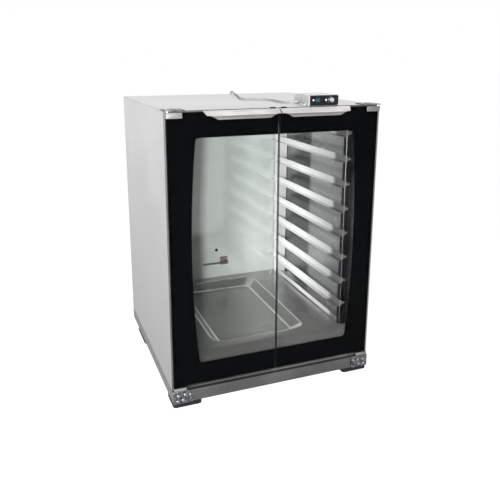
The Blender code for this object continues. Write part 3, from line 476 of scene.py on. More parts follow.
def clear_glass(name, tint, opacity, roughness, specular=0.5):
    """Float glass seen through: mostly open, with its gloss and a breath of wiping marks."""
    finish, tree, shader = new_finish(name, tint, roughness[0], specular=specular)
    shader.inputs["IOR"].default_value = 1.5
    wiped = grain(tree, (9, 9, 3), 4.0, (0, 0.5, 0))
    dust = grain(tree, (900, 900, 900), 2.0)
    film = blended(tree, wiped, dust, 0.3)
    feed(shader, "Alpha", spread(tree, film, *opacity))
    feed(shader, "Roughness", spread(tree, film, *roughness))
    feed(shader, "Base Color", between(tree, film, [value * 0.7 for value in tint], tint))
    emboss(tree, wiped, shader, 0.02, 0.001)
    return finish


def mineral_wool(name):
    finish, tree, shader = new_finish(name, (0.62, 0.58, 0.42), 0.95)
    fibre = grain(tree, (900, 60, 300), 5.0, (0.4, 0.3, 0.2))
    matted = grain(tree, (90, 90, 90), 5.0)
    tuft = blended(tree, fibre, matted, 0.5)
    feed(shader, "Base Color", between(tree, spread(tree, tuft, 0, 1), (0.42, 0.37, 0.22), (0.70, 0.66, 0.50)))
    emboss(tree, tuft, shader, 0.8, 0.003)
    return finish


# Dark and light tone, roughness, brush lines, clouds, the lines' share, relief. Where shade is painted on a steel:
# the axis, the place where that painted shade starts, the place where it is complete, and the share of the tone that is
# left there.
# The brush lines run along the axis that has the small number.
# Painted shade: the outer panels grow darker towards the bottom
PANEL_STEEL = brushed_steel(
    "panel_steel", (0.58, 0.58, 0.59), (0.67, 0.67, 0.68), (0.34, 0.44), (900, 40, 12), (4, 4, 5), 0.15, 0.03,
    painted_shade=(("Z", 0.74, 0.08, 0.50),)
)
# Painted shade: a dark copy of the outer steel for the folds beside and over the doors
JAMB_SHADE_STEEL = brushed_steel(
    "jamb_shade_steel", (0.07, 0.07, 0.07), (0.13, 0.13, 0.13), (0.55, 0.65), (900, 40, 12), (12, 12, 12), 0.3, 0.03
)
TOP_STEEL = brushed_steel(
    "top_steel", (0.57, 0.57, 0.58), (0.66, 0.66, 0.66), (0.30, 0.42), (12, 900, 900), (6, 6, 6), 0.3, 0.05
)
CHASSIS_STEEL = brushed_steel(
    "chassis_steel", (0.07, 0.07, 0.07), (0.13, 0.13, 0.13), (0.35, 0.45), (14, 900, 1100), (12, 12, 12), 0.45, 0.06
)
# Painted shade on the chamber's rear wall and ceiling: darker towards the left
REAR_LINER_STEEL = brushed_steel(
    "rear_liner_steel", (0.40, 0.44, 0.41), (0.52, 0.56, 0.53), (0.07, 0.12), (14, 300, 900), (5, 5, 5), 0.3, 0.01,
    metallic=0.15, painted_shade=(("X", 0.14, -0.03, 0.78),)
)
# Painted shadow on the chamber's side walls: darker from a soft line a little behind their middle to the rear
SIDE_LINER_STEEL = brushed_steel(
    "side_liner_steel", (0.36, 0.36, 0.37), (0.50, 0.50, 0.50), (0.22, 0.32), (14, 300, 900), (5, 5, 5), 0.3, 0.03,
    metallic=0.8, painted_shade=(("Y", 0.055, 0.070, 0.26),)
)
# Painted shade on the chamber floor: darker towards the left
BASIN_STEEL = brushed_steel(
    "basin_steel", (0.29, 0.29, 0.28), (0.38, 0.38, 0.37), (0.22, 0.30), (16, 900, 900), (3, 3, 3), 0.12, 0.01,
    metallic=0.8, painted_shade=(("X", 0.10, -0.16, 0.68),)
)
# Painted highlight: a lighter, glossier copy of the basin steel for the basin's rounded bends
RIM_HIGHLIGHT_STEEL = brushed_steel(
    "rim_highlight_steel", (0.58, 0.57, 0.54), (0.80, 0.79, 0.76), (0.12, 0.20), (40, 40, 40), (9, 9, 9), 0.3, 0.01,
    metallic=0.95
)
# Painted shade on the runners and rails: darker towards the front, and darker still over the runners' front ends
RACK_STEEL = brushed_steel(
    "rack_steel", (0.80, 0.81, 0.82), (0.93, 0.94, 0.94), (0.14, 0.24), (900, 14, 900), (16, 10, 16), 0.3, 0.03,
    metallic=0.15, painted_shade=(("Y", 0.04, -0.14, 0.5), ("Y", -0.150, -0.170, 0.25))
)
# Painted shade: a dark copy of the rack steel for the front uprights
FRONT_UPRIGHT_SHADE_STEEL = brushed_steel(
    "upright_steel", (0.12, 0.12, 0.13), (0.20, 0.20, 0.21), (0.22, 0.34), (900, 900, 12), (16, 16, 8), 0.35, 0.03
)
REAR_UPRIGHT_STEEL = brushed_steel(
    "rear_upright_steel", (0.80, 0.82, 0.83), (0.93, 0.94, 0.94), (0.16, 0.26), (900, 900, 12), (16, 16, 8), 0.35, 0.03,
    metallic=0.5
)
HANDLE_STEEL = brushed_steel(
    "handle_steel", (0.18, 0.165, 0.165), (0.40, 0.38, 0.37), (0.26, 0.38), (5, 260, 260), (9, 40, 40), 0.6, 0.06
)
# Painted highlight: a lighter copy of the handle steel for the handles' upward faces
HANDLE_HIGHLIGHT_STEEL = brushed_steel(
    "handle_highlight_steel", (0.50, 0.48, 0.48), (0.92, 0.90, 0.89), (0.24, 0.34), (5, 260, 260), (16, 40, 40), 0.4, 0.06
)
CLAMP_STEEL = brushed_steel(
    "clamp_steel", (0.15, 0.15, 0.15), (0.26, 0.26, 0.25), (0.50, 0.62), (20, 700, 700), (40, 40, 40), 0.4, 0.05
)
POD_STEEL = brushed_steel(
    "pod_steel", (0.50, 0.50, 0.50), (0.72, 0.72, 0.72), (0.22, 0.34), (700, 14, 700), (22, 22, 22), 0.35, 0.06
)
KNOB_METAL = brushed_steel(
    "knob_metal", (0.40, 0.41, 0.42), (0.62, 0.63, 0.64), (0.16, 0.26), (900, 60, 900), (50, 50, 50), 0.4, 0.05
)
SCREW_STEEL = brushed_steel(
    "screw_steel", (0.26, 0.26, 0.27), (0.48, 0.48, 0.49), (0.16, 0.28), (500, 500, 500), (120, 120, 120), 0.4, 0.05
)
ZINC_PLATE = zinc_plate("zinc_plate")
REAR_STEEL = brushed_steel(
    "rear_steel", (0.50, 0.51, 0.52), (0.64, 0.65, 0.66), (0.36, 0.48), (16, 600, 600), (9, 9, 9), 0.3, 0.05
)
BULB_METAL = brushed_steel(
    "bulb_metal", (0.14, 0.14, 0.13), (0.24, 0.23, 0.22), (0.30, 0.42), (60, 400, 400), (80, 80, 80), 0.4, 0.05
)
DOOR_GLASS = clear_glass("door_glass", (0.004, 0.008, 0.007), (0.015, 0.03), (0.02, 0.05))
GLASS_EDGE = clear_glass("polished_glass_edge", (0.003, 0.007, 0.006), (0.70, 0.85), (0.25, 0.40), 0.03)
BLACK_ENAMEL = moulded(
    "black_enamel", (0.0004, 0.0004, 0.0006), (0.0008, 0.0008, 0.0010), (0.30, 0.42), 300, 0.02, specular=0.01
)
BLACK_RUBBER = moulded(
    "black_rubber", (0.006, 0.006, 0.008), (0.016, 0.016, 0.018), (0.65, 0.85), 500, 0.3, specular=0.1
)
SEAL_RUBBER = moulded(
    "seal_rubber", (0.006, 0.006, 0.007), (0.012, 0.012, 0.013), (0.55, 0.75), 800, 0.2, specular=0.1
)
BLACK_PLASTIC = moulded(
    "black_plastic", (0.003, 0.003, 0.005), (0.007, 0.007, 0.010), (0.30, 0.45), 900, 0.15, specular=0.15
)
CABLE_SHEATH = moulded("cable_sheath", (0.20, 0.20, 0.21), (0.32, 0.32, 0.33), (0.42, 0.58), 600, 0.1, specular=0.3)
LAMP_LENS = moulded(
    "lamp_lens", (0.50, 0.54, 0.60), (0.72, 0.76, 0.82), (0.10, 0.20), 300, 0.05, specular=0.6, glow=0.1
)
LIT_ROCKER = moulded(
    "lit_rocker", (0.004, 0.022, 0.028), (0.010, 0.050, 0.058), (0.22, 0.34), 500, 0.08, specular=0.3, glow=0.3
)
DIAL_PRINT = moulded("dial_print", (0.40, 0.41, 0.43), (0.55, 0.56, 0.58), (0.45, 0.6), 800, 0.1)
SOOTY_HEATER = moulded("heater_sheath", (0.10, 0.09, 0.09), (0.22, 0.21, 0.20), (0.45, 0.60), 500, 0.2, metallic=0.8)
WOOL = mineral_wool("mineral_wool")


# Pieces


def make_screw_head():
    """A pan head with a cross recess, one metre in radius, to be copied at its real size."""
    head = turned("screw_head", ((0, 1), (0.12, 1), (0.30, 0.93), (0.42, 0.74), (0.48, 0.45)), (0, 0, 0), UP, 20)
    bars = [
        block("recess_bar", (-0.42, -0.10, 0.22), (0.42, 0.10, 1)),
        block("recess_cross", (-0.10, -0.42, 0.22), (0.10, 0.42, 1)),
    ]
    cut(head, bars)
    return coat(head, SCREW_STEEL)


def screw(place, direction, radius, turn):
    """A screw head standing on a face, turned as it happened to stop."""
    aim = Vector(direction).to_track_quat("Z", "Y").to_matrix().to_4x4()
    spot = Matrix.Translation(place) @ aim @ Matrix.Rotation(turn, 4, "Z") @ Matrix.Scale(radius, 4)
    return copy_of(SCREW_HEAD, "screw", spot)


def coat_fold(sheet, finish):
    """Coat an outer sheet, with a dark steel on its fold beside or over the doors: painted shade."""
    fold = lambda face: face.center.y < FRAME_FRONT + 0.0021 and face.normal.y < -0.05
    return coat_where(coat(sheet, finish), JAMB_SHADE_STEEL, fold)


def make_side_panels():
    """The outer side sheets, each folded in front to make the jamb beside the chamber."""
    low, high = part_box("side_panel_left")
    for word, side in SIDES.items():
        line = [
            (side * (LINER_HALF + 0.0003), FRAME_FRONT, low.z),
            (side * HALF_WIDTH, FRAME_FRONT, low.z),
            (side * HALF_WIDTH, REAR, low.z),
        ]
        panel = folded_sheet(f"side_panel_{word}", line, (0, 0, high.z - low.z - 0.0006), SHEET, 0.0022, side)
        break_edges(panel)
        fit(coat_fold(panel, PANEL_STEEL), f"side_panel_{word}")


def make_top_panel():
    """The top sheet, folded down over the door opening as the header."""
    half = LINER_HALF - 0.0004
    line = [(-HALF_WIDTH, REAR, TOP), (-HALF_WIDTH, FRAME_FRONT, TOP)]
    top = folded_sheet("top_panel", line, (2 * HALF_WIDTH, 0, 0), 0, 0, -1)
    divide(top, (-half, half))
    front = lambda edge: abs(middle(edge).x) < 0.01 and abs(middle(edge).y - FRAME_FRONT) < 1e-5 and along(edge, 0)
    pick(top, "EDGE", front)
    push((0, 0, CEILING_LEVEL - TOP))
    rest()
    round_edges(top, lambda edge: front(edge) and middle(edge).z > TOP - 1e-5, 0.0022, 4)
    even_out(top)
    thicken_below(top, 0.0012)
    break_edges(top, 2, 0.0004)
    fit(coat_fold(top, TOP_STEEL), "top_panel")


def make_rear_panel():
    """The rear sheet with a shallow pressed field and its screws."""
    low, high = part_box("rear_panel")
    panel = block("rear_panel", low, high)
    press(panel, lambda face: face.normal.y > 0.9, 0.030, 0.006, 0.0006)
    break_edges(panel)
    coat(panel, REAR_STEEL)
    screws = []
    for row in range(6):
        z = low.z + 0.020 + (high.z - low.z - 0.040) * row / 5
        for side in (-1, 1):
            screws.append(screw((side * (high.x - 0.012), REAR - 0.0001, z), TO_REAR, 0.0035, row * 0.7 + side))
    for column in range(1, 4):
        x = low.x + (high.x - low.x) * column / 4
        for z in (low.z + 0.012, high.z - 0.012):
            screws.append(screw((x, REAR - 0.0001, z), TO_REAR, 0.0035, column * 0.9 + z))
    fit(unite(panel, screws), "rear_panel")


def make_chassis():
    """The base pan: a folded front and rear wall with the ledge under the doors, and its side walls."""
    low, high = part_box("base_chassis")
    line = [
        (low.x, low.y + 0.0095, high.z),
        (low.x, low.y, high.z),
        (low.x, low.y, low.z),
        (low.x, high.y, low.z),
        (low.x, high.y, high.z),
    ]
    pan = folded_sheet("base_chassis", line, (high.x - low.x, 0, 0), SHEET, 0.0018, 1)
    break_edges(pan)
    walls = []
    across, deep, up = (high.x - SHEET, high.x), (low.y + 0.002, high.y - 0.002), (low.z + SHEET, high.z)
    for side in (-1, 1):
        walls.append(side_block("chassis_wall", side, across, deep, up))
        break_edges(walls[-1])
    fit(coat(unite(pan, walls), CHASSIS_STEEL), "base_chassis")


def make_feet():
    """Rubber pads with round corners and a recess underneath."""
    for node in ("foot_front_left", "foot_front_right", "foot_rear_left", "foot_rear_right"):
        low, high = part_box(node)
        foot = block(node, low, high)
        round_edges(foot, lambda edge: along(edge, 2), 0.008, 6)
        press(foot, lambda face: face.normal.z < -0.9, 0.006, 0.001, 0.0015)
        soften(foot, 0.0012, 3)
        fit(coat(foot, BLACK_RUBBER), node)


def make_chamber_floor():
    """The floor pressed into a water basin with a soft rim, with its sloping lip and the sill folded down in front."""
    low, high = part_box("liner_floor")
    rim = 0.006
    basin_low, basin_high = Vector((-0.147, -0.1927)), Vector((0.129, 0.2295))
    centre, size = (basin_low + basin_high) / 2, basin_high - basin_low
    slope, depth = 0.026, 0.022
    rest()
    bpy.ops.mesh.primitive_plane_add(size=1, location=(*centre, FLOOR_LEVEL))
    bpy.context.object.scale = (size.x + 2 * rim, size.y + 2 * rim, 1)
    floor = take("chamber_floor")
    pick(floor, "VERT")
    bpy.ops.mesh.bevel(offset=0.032 + rim, segments=10, affect="VERTICES")
    rest()
    pick(floor, "FACE")
    bpy.ops.mesh.inset(thickness=rim)
    push((0, 0, -depth))
    bpy.ops.transform.resize(value=((size.x - 2 * slope) / size.x, (size.y - 2 * slope) / size.y, 1))
    rest()

    def fold(edge, level):
        return len(edge.link_faces) == 2 and edge.calc_face_angle() > 0.4 and abs(middle(edge).z - level) < 1e-4

    round_edges(floor, lambda edge: fold(edge, FLOOR_LEVEL), 0.0026, 4)
    round_edges(floor, lambda edge: fold(edge, FLOOR_LEVEL - depth), 0.0045, 5)
    lip_end, lip_level = FRAME_FRONT + 0.045, FLOOR_LEVEL - 0.014
    pick(floor, "VERT", lambda corner: False)
    bpy.ops.mesh.primitive_plane_add(size=1, location=(0, (lip_end + high.y) / 2, FLOOR_LEVEL))
    bpy.ops.transform.resize(value=(2 * high.x, high.y - lip_end, 1))
    bpy.ops.mesh.delete(type="ONLY_FACE")
    rest()
    pick(floor, "EDGE", lambda edge: len(edge.link_faces) == 0)
    bpy.ops.mesh.subdivide(number_cuts=11)
    rest()
    pick(floor, "EDGE", lambda edge: len(edge.link_faces) < 2)
    bpy.ops.mesh.fill()
    rest()
    front = lambda edge: len(edge.link_faces) == 1 and along(edge, 0) and abs(middle(edge).y - lip_end) < 1e-5
    pick(floor, "EDGE", front)
    push((0, FRAME_FRONT - lip_end, lip_level - FLOOR_LEVEL))
    push((0, 0, low.z - lip_level))
    rest()
    for y, level, radius in ((FRAME_FRONT, lip_level, 0.003), (lip_end, FLOOR_LEVEL, 0.008)):
        spot = Vector((0, y, level))
        bend = lambda edge: along(edge, 0) and (middle(edge) - spot).yz.length < 1e-5
        round_edges(floor, bend, radius)
    even_out(floor)
    thicken_below(floor, 0.0008)
    # The basin's rounded bends get the lighter rim steel: painted highlight
    bends = lambda face: 0.79 < abs(face.normal.z) < 0.995 and face.center.y > basin_low.y - rim
    fit(coat_where(coat(floor, BASIN_STEEL), RIM_HIGHLIGHT_STEEL, bends), "liner_floor")


def make_door_seal():
    """The rubber frame round the opening, with a groove in its face towards the doors."""
    low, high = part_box("door_seal")
    rest()
    bpy.ops.mesh.primitive_plane_add(
        size=1, location=(0, high.y, (low.z + high.z) / 2), rotation=(math.pi / 2, 0, 0)
    )
    bpy.context.object.scale = (high.x - low.x, high.z - low.z, 1)
    seal = take("door_seal")
    pick(seal, "FACE")
    bpy.ops.mesh.inset(thickness=0.008)
    bpy.ops.mesh.delete(type="FACE")
    rest()
    thicken(seal, high.y - low.y, 1)
    sink(seal, lambda face: face.normal.y < -0.9, 0.0028, (0, 0.0012, 0))
    soften(seal, 0.0005, 3)
    fit(coat(seal, SEAL_RUBBER), "door_seal")


def make_catch():
    """The catch bar in the middle of the header, with its screws and a post behind each handle."""
    low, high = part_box("door_catch")
    bar = block("door_catch", (low.x, low.y, 0.7355), (high.x, high.y, 0.7525))
    round_edges(bar, lambda edge: along(edge, 1), 0.004, 5)
    soften(bar, 0.0006)
    posts = []
    for side in (-1, 1):
        post = side_block("catch_post", side, (0.006, 0.023), (high.y - 0.0019, high.y - 0.0003), (0.744, high.z))
        round_edges(post, lambda edge: along(edge, 1) and middle(edge).z > 0.75, 0.003, 5)
        posts.append(coat(post, BLACK_PLASTIC))
        for x in (0.0100, 0.0190):
            posts.append(screw((side * (x + 0.006), low.y + 0.0002, 0.7405), TO_FRONT, 0.0020, x * 90))
    fit(unite(coat(bar, BLACK_PLASTIC), posts), "door_catch")


def make_racks():
    """A slotted channel upright in front and behind on each side, with a rail between them above and below."""
    inner, outer = 0.2258, 0.2647
    low, high = 0.1203, 0.7120
    slot_inner, slot_outer, slot_low, slot_high = 0.2305, 0.2415, 0.0045, 0.0105
    # The front uprights take a dark copy of the rack steel: painted shade
    channels = (-0.2170, -0.2020, FRONT_UPRIGHT_SHADE_STEEL), (0.2405, 0.2555, REAR_UPRIGHT_STEEL)
    rail_height = 0.014
    levels = [TOP_RUNNER_LEVEL - number * RUNNER_PITCH for number in range(LEVELS)]
    for word, side in SIDES.items():
        parts = []
        for web, mouth, finish in channels:
            path = ((inner, mouth), (inner, web), (outer, web), (outer, mouth))
            line = [(side * across, deep, low) for across, deep in path]
            upright = folded_sheet("upright", line, (0, 0, high - low), RACK_SHEET, 0.0022, side)
            slots = []
            for level in levels:
                up = (level + slot_low, level + slot_high)
                slot = side_block("slot", side, (slot_inner, slot_outer), (web - 0.004, web + 0.004), up)
                round_edges(slot, lambda edge: along(edge, 1), 0.0028, 3)
                slots.append(slot)
            cut(upright, [unite(slots[0], slots[1:])])
            break_edges(upright)
            parts.append(coat(upright, finish))
        for bottom in (low + 0.003, high - 0.003 - rail_height):
            across, up = (inner + RACK_SHEET, inner + 2 * RACK_SHEET), (bottom, bottom + rail_height)
            rail = side_block("rail", side, across, (-0.2155, 0.2540), up)
            soften(rail, 0.0005, 2)
            parts.append(coat(rail, RACK_STEEL))
        fit(unite(parts[0], parts[1:]), f"rack_frame_{word}")


def make_runners():
    """One tray runner, folded from sheet with a tab in front, and its copies up both sides."""
    outer, tip = 0.2255, 0.2103
    front, rear = -0.2188, 0.2555
    line = [(outer, front, 0.0168), (outer, front, -RACK_SHEET), (tip, front, -RACK_SHEET)]
    runner = folded_sheet("runner", line, (0, rear - front, 0), 0, 0.0024, 1, 5)
    tab = lambda edge: along(edge, 2) and abs(middle(edge).y - front) < 1e-5 and middle(edge).z > 0.004
    pick(runner, "EDGE", tab)
    push((0.0052, 0, 0))
    rest()
    tab_bend = lambda edge: along(edge, 2) and len(edge.link_faces) == 2 and abs(middle(edge).x - outer) < 1e-5
    round_edges(runner, tab_bend, 0.0012, 3)
    thicken(runner, RACK_SHEET, 1)
    round_edges(runner, lambda edge: along(edge, 2) and middle(edge).x < tip + 1e-4, 0.006, 5)
    break_edges(runner)
    tongue = block("runner_tongue", (0.2249, front - 0.0003, 0.0048), (0.2395, front + 0.0009, 0.0100))
    round_edges(tongue, lambda edge: along(edge, 1) and middle(edge).x > 0.235, 0.002, 4)
    coat(unite(runner, [tongue]), RACK_STEEL)
    for word, side in SIDES.items():
        for number in range(LEVELS):
            level = Matrix.Translation((0, 0, TOP_RUNNER_LEVEL - number * RUNNER_PITCH))
            node = f"runner_{word}_{number + 1}"
            fit(copy_of(runner, node, level @ Matrix.Scale(side, 4, (1, 0, 0))), node)
    bpy.data.objects.remove(runner, do_unlink=True)


def notch(side, height):
    return side_block("notch", side, (0.2705, 0.2900), (-0.30, -0.26), (0.754 - height, 0.76))


def make_glass_doors():
    """The two panes with ground and polished edges, notched for the upper pivots."""
    for word, side in SIDES.items():
        low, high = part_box(f"door_glass_{word}")
        pane = block(f"door_glass_{word}", low, high)
        cut(pane, [notch(side, 0.0138)])
        round_edges(pane, lambda edge: along(edge, 1), 0.0010, 3)
        soften(pane, 0.0007, 3)
        coat_where(coat(pane, DOOR_GLASS), GLASS_EDGE, lambda face: abs(face.normal.y) <= 0.99)
        fit(pane, f"door_glass_{word}", f"{word}_door")


def make_handles():
    """A plate folded over the top edge of each pane: a sloping facet, a narrower lip, and the clip behind the glass."""
    for word, side in SIDES.items():
        low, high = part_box(f"door_handle_{word}")
        inner, outer, facet_end = 0.0012, 0.1950, 0.1890
        lip_start, lip_end, lip_taper = 0.0102, 0.1810, 0.0200
        back, crest, brow = high.y, -0.2770, low.y
        top, hem, foot = 0.7558, 0.7458, 0.7358
        line = [(inner, back, top), (inner, crest, top), (inner, brow, hem)]
        plate = folded_sheet(f"door_handle_{word}", line, (outer - inner, 0, 0), 0, 0, 1)
        pick(plate, "VERT", lambda corner: corner.co.y < brow + 1e-5 and corner.co.x > outer / 2)
        bpy.ops.transform.translate(value=(facet_end - outer, 0, 0))
        rest()
        divide(plate, (lip_start, lip_end))
        pick(plate, "EDGE", lambda edge: middle(edge).y < brow + 1e-5 and lip_start < middle(edge).x < lip_end)
        push((0, 0, foot - hem))
        width = lip_end - lip_start
        bpy.ops.transform.resize(value=((width - 2 * lip_taper) / width, 1, 1))
        rest()
        bends = lambda edge: len(edge.link_faces) == 2 and edge.calc_face_angle() > 0.3 and along(edge, 0)
        round_edges(plate, bends, 0.0022, 4)
        thicken_below(plate, 0.0015)
        break_edges(plate, 2)
        clip_start, clip_end, clip_low, clip_high = 0.0452, 0.1530, 0.7428, 0.7550
        clip = block("handle_clip", (clip_start, GLASS_BACK, clip_low), (clip_end, back, clip_high))
        round_edges(clip, lambda edge: along(edge, 1) and middle(edge).z < 0.75, 0.003, 4)
        plate = coat(unite(plate, [clip]), HANDLE_STEEL)
        # The faces turned upwards get the lighter handle steel: painted highlight
        coat_where(plate, HANDLE_HIGHLIGHT_STEEL, lambda face: face.normal.z > 0.35)
        screws = [screw((x, back - 0.0002, 0.7490), TO_REAR, 0.0022, x * 50) for x in (0.060, 0.099, 0.138)]
        unite(plate, screws)
        if side < 0:
            plate.data.transform(Matrix.Scale(-1, 4, (1, 0, 0)))
            plate.data.flip_normals()
        fit(plate, f"door_handle_{word}", f"{word}_door")


def on_pivot(name, side, level, stations, sides=24):
    """A turned steel part, or a drill for one, on the axis that a door turns about."""
    return coat(turned(name, stations, (side * PIVOT_X, PIVOT_Y, level), UP, sides), SCREW_STEEL)


def make_clamps():
    """Plates before and behind the glass at each outer corner, with the holes that the pivot pins turn in."""
    for word, side in SIDES.items():
        low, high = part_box(f"upper_clamp_{word}")
        across = (0.2445, 0.2825)
        plate = side_block(f"upper_clamp_{word}", side, across, (low.y, -0.2778), (low.z, high.z))
        round_edges(plate, lambda edge: along(edge, 1), 0.0015, 4)
        soften(plate, 0.0006, 3)
        pivot = side_block("pivot_block", side, (0.2708, 0.2825), (-0.2790, high.y), (low.z, high.z))
        soften(pivot, 0.0005)
        back = side_block("clamp_back", side, across, (GLASS_BACK, high.y), (low.z, high.z))
        break_edges(back, 2)
        cut(pivot, [on_pivot("pin_hole", side, high.z - 0.0105, ((0, PIN_HOLE), (0.012, PIN_HOLE)))])
        clamp = coat(unite(plate, [pivot, back]), CLAMP_STEEL)
        screws = [screw((side * x, high.y - 0.0003, low.z + 0.0065), TO_REAR, 0.0022, x * 70) for x in (0.250, 0.264)]
        fit(unite(clamp, screws), f"upper_clamp_{word}", f"{word}_door")

        low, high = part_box(f"lower_clamp_{word}")
        across = (0.2495, 0.2825)
        foot = side_block(f"lower_clamp_{word}", side, across, (low.y, high.y), (low.z, 0.0552))
        round_edges(foot, lambda edge: along(edge, 2) and middle(edge).y < -0.275, 0.0015, 4)
        soften(foot, 0.0006, 3)
        cut(foot, [on_pivot("pin_hole", side, low.z - 0.002, ((0, PIN_HOLE), (0.009, PIN_HOLE)))])
        back = side_block("clamp_back", side, across, (GLASS_BACK, high.y), (0.0545, high.z))
        round_edges(back, lambda edge: along(edge, 1) and middle(edge).z > 0.06, 0.003, 4)
        clamp = coat(unite(foot, [back]), CLAMP_STEEL)
        screws = [screw((side * x, high.y - 0.0003, high.z - 0.0065), TO_REAR, 0.0022, x * 70) for x in (0.257, 0.274)]
        fit(unite(clamp, screws), f"lower_clamp_{word}", f"{word}_door")


def make_hinge_brackets():
    """The galvanised plates that carry the pivot pins, screwed to the top and to the chassis front."""
    for word, side in SIDES.items():
        low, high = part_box(f"top_hinge_bracket_{word}")
        bottom, face = 0.7573, 0.7593
        plate = side_block(f"top_hinge_bracket_{word}", side, (0.2360, 0.2850), (low.y, high.y), (bottom, face))
        round_edges(plate, lambda edge: along(edge, 2) and side * middle(edge).x < 0.25, 0.006, 5)
        soften(plate, 0.0005)
        pin = on_pivot("top_pin", side, 0.7442, ((0, 0.0012), (0.0008, PIN), (0.0140, PIN)))
        stations = ((0, 0.0034), (0.0005, 0.0034), (0.0010, 0.0026), (0.0012, 0.0012))
        rivet = on_pivot("pin_rivet", side, face - 0.0001, stations, 32)
        coat(plate, ZINC_PLATE)
        parts = [pin, rivet]
        for number, (across, back) in enumerate(((0.2468, -0.2503), (0.2630, -0.2406), (0.2762, -0.2521))):
            stations = ((0, 0.0042), (0.0004, 0.0042), (0.0005, 0.0038))
            washer = turned("washer", stations, (side * across, back, face - 0.0001), UP, 28)
            parts.append(coat(washer, SCREW_STEEL))
            parts.append(screw((side * across, back, face + 0.0003), UP, 0.0033, number * 0.8 + side))
        fit(unite(plate, parts), f"top_hinge_bracket_{word}")

        inner, width = 0.2330, 0.0520
        front, ledge_back, ledge, foot, reach = -0.2798, -0.2668, 0.0468, 0.0123, 0.0322
        line = [(side * inner, ledge_back, ledge), (side * inner, front, ledge), (side * inner, front, foot)]
        angle = folded_sheet(f"bottom_hinge_bracket_{word}", line, (side * width, 0, 0), 0.0020, 0.0024, side, 5)
        corner = lambda edge: along(edge, 1) and side * middle(edge).x < 0.24 and middle(edge).z < 0.02
        round_edges(angle, corner, 0.006, 5)
        break_edges(angle, 2, 0.0004)
        pin = on_pivot("bottom_pin", side, 0.0455, ((0, PIN), (0.0073, PIN), (0.0079, 0.0012)))
        coat(angle, ZINC_PLATE)
        parts = [pin]
        for number, (across, up) in enumerate(((0.16, 0.70), (0.42, 0.74), (0.76, 0.68), (0.52, 0.28), (0.80, 0.24))):
            spot = (side * (inner + width * across), front + 0.0001, foot + reach * up)
            parts.append(screw(spot, TO_FRONT, 0.0033, number * 0.9 + side))
        fit(unite(angle, parts), f"bottom_hinge_bracket_{word}")


def make_pod_housing():
    """The control pod's folded housing with its rear wall, and two foot flanges with screws."""
    left, right, front, rear = 0.0985, 0.1825, -0.2405, -0.1525
    bottom, top = 0.7576, 0.7828
    line = [(left, front, bottom), (left, front, top), (right, front, top), (right, front, bottom)]
    shell = folded_sheet("control_housing", line, (0, rear - front, 0), 0.0012, 0.0022, 1, 5)
    break_edges(shell)
    back = block("pod_rear_wall", (left + 0.0011, rear - 0.0012, bottom), (right - 0.0011, rear, top - 0.0011))
    break_edges(back)
    parts, screws = [back], []
    for edge, sign in ((left, -1), (right, 1)):
        flange = block("pod_flange", (edge - sign * 0.0006, -0.2325, 0.7573), (edge + sign * 0.0100, -0.1925, 0.7585))
        round_edges(flange, lambda part: along(part, 2) and abs(middle(part).x - edge) > 0.005, 0.003, 4)
        break_edges(flange)
        parts.append(flange)
        for y in (-0.2225, -0.2025):
            screws.append(screw((edge + sign * 0.0050, y, 0.7584), UP, 0.0031, y * 40 + sign))
    fit(unite(coat(unite(shell, parts), POD_STEEL), screws), "control_housing")


def make_fascia():
    """The black control face: round corners, a sunk field, its four openings, and the printed ring of dial marks."""
    low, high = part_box("control_fascia")
    face = block("control_fascia", low, high)
    round_edges(face, lambda edge: along(edge, 1), 0.006, 8)
    sink(face, lambda side: side.normal.y < -0.9, 0.0012, (0, 0.0004, 0))
    break_edges(face, 2)
    cutters, through = [], 0.004
    for x, radius in ((KNOB_X, 0.0033), (0.1095, 0.0025), (0.1455, 0.0025)):
        cutters.append(turned("hole", ((0, radius), (0.010, radius)), (x, low.y - through, CONTROL_LEVEL), TO_REAR, 28))
    slot = (0.11505, low.y - through, 0.76545), (0.12795, high.y + through, 0.77455)
    cutters.append(block("switch_slot", *slot))
    cut(face, cutters)
    coat(face, BLACK_PLASTIC)
    marks = []
    for number in range(11):
        turn = math.radians(-135 + 27 * number)
        tip = 0.0091 if number % 5 else 0.0097
        mark = block("dial_mark", (-0.0002, low.y + 0.0003, 0.0079), (0.0002, low.y + 0.0005, tip))
        mark.data.transform(Matrix.Translation((KNOB_X, 0, CONTROL_LEVEL)) @ Matrix.Rotation(turn, 4, "Y"))
        marks.append(coat(mark, DIAL_PRINT))
    fit(unite(face, marks), "control_fascia")


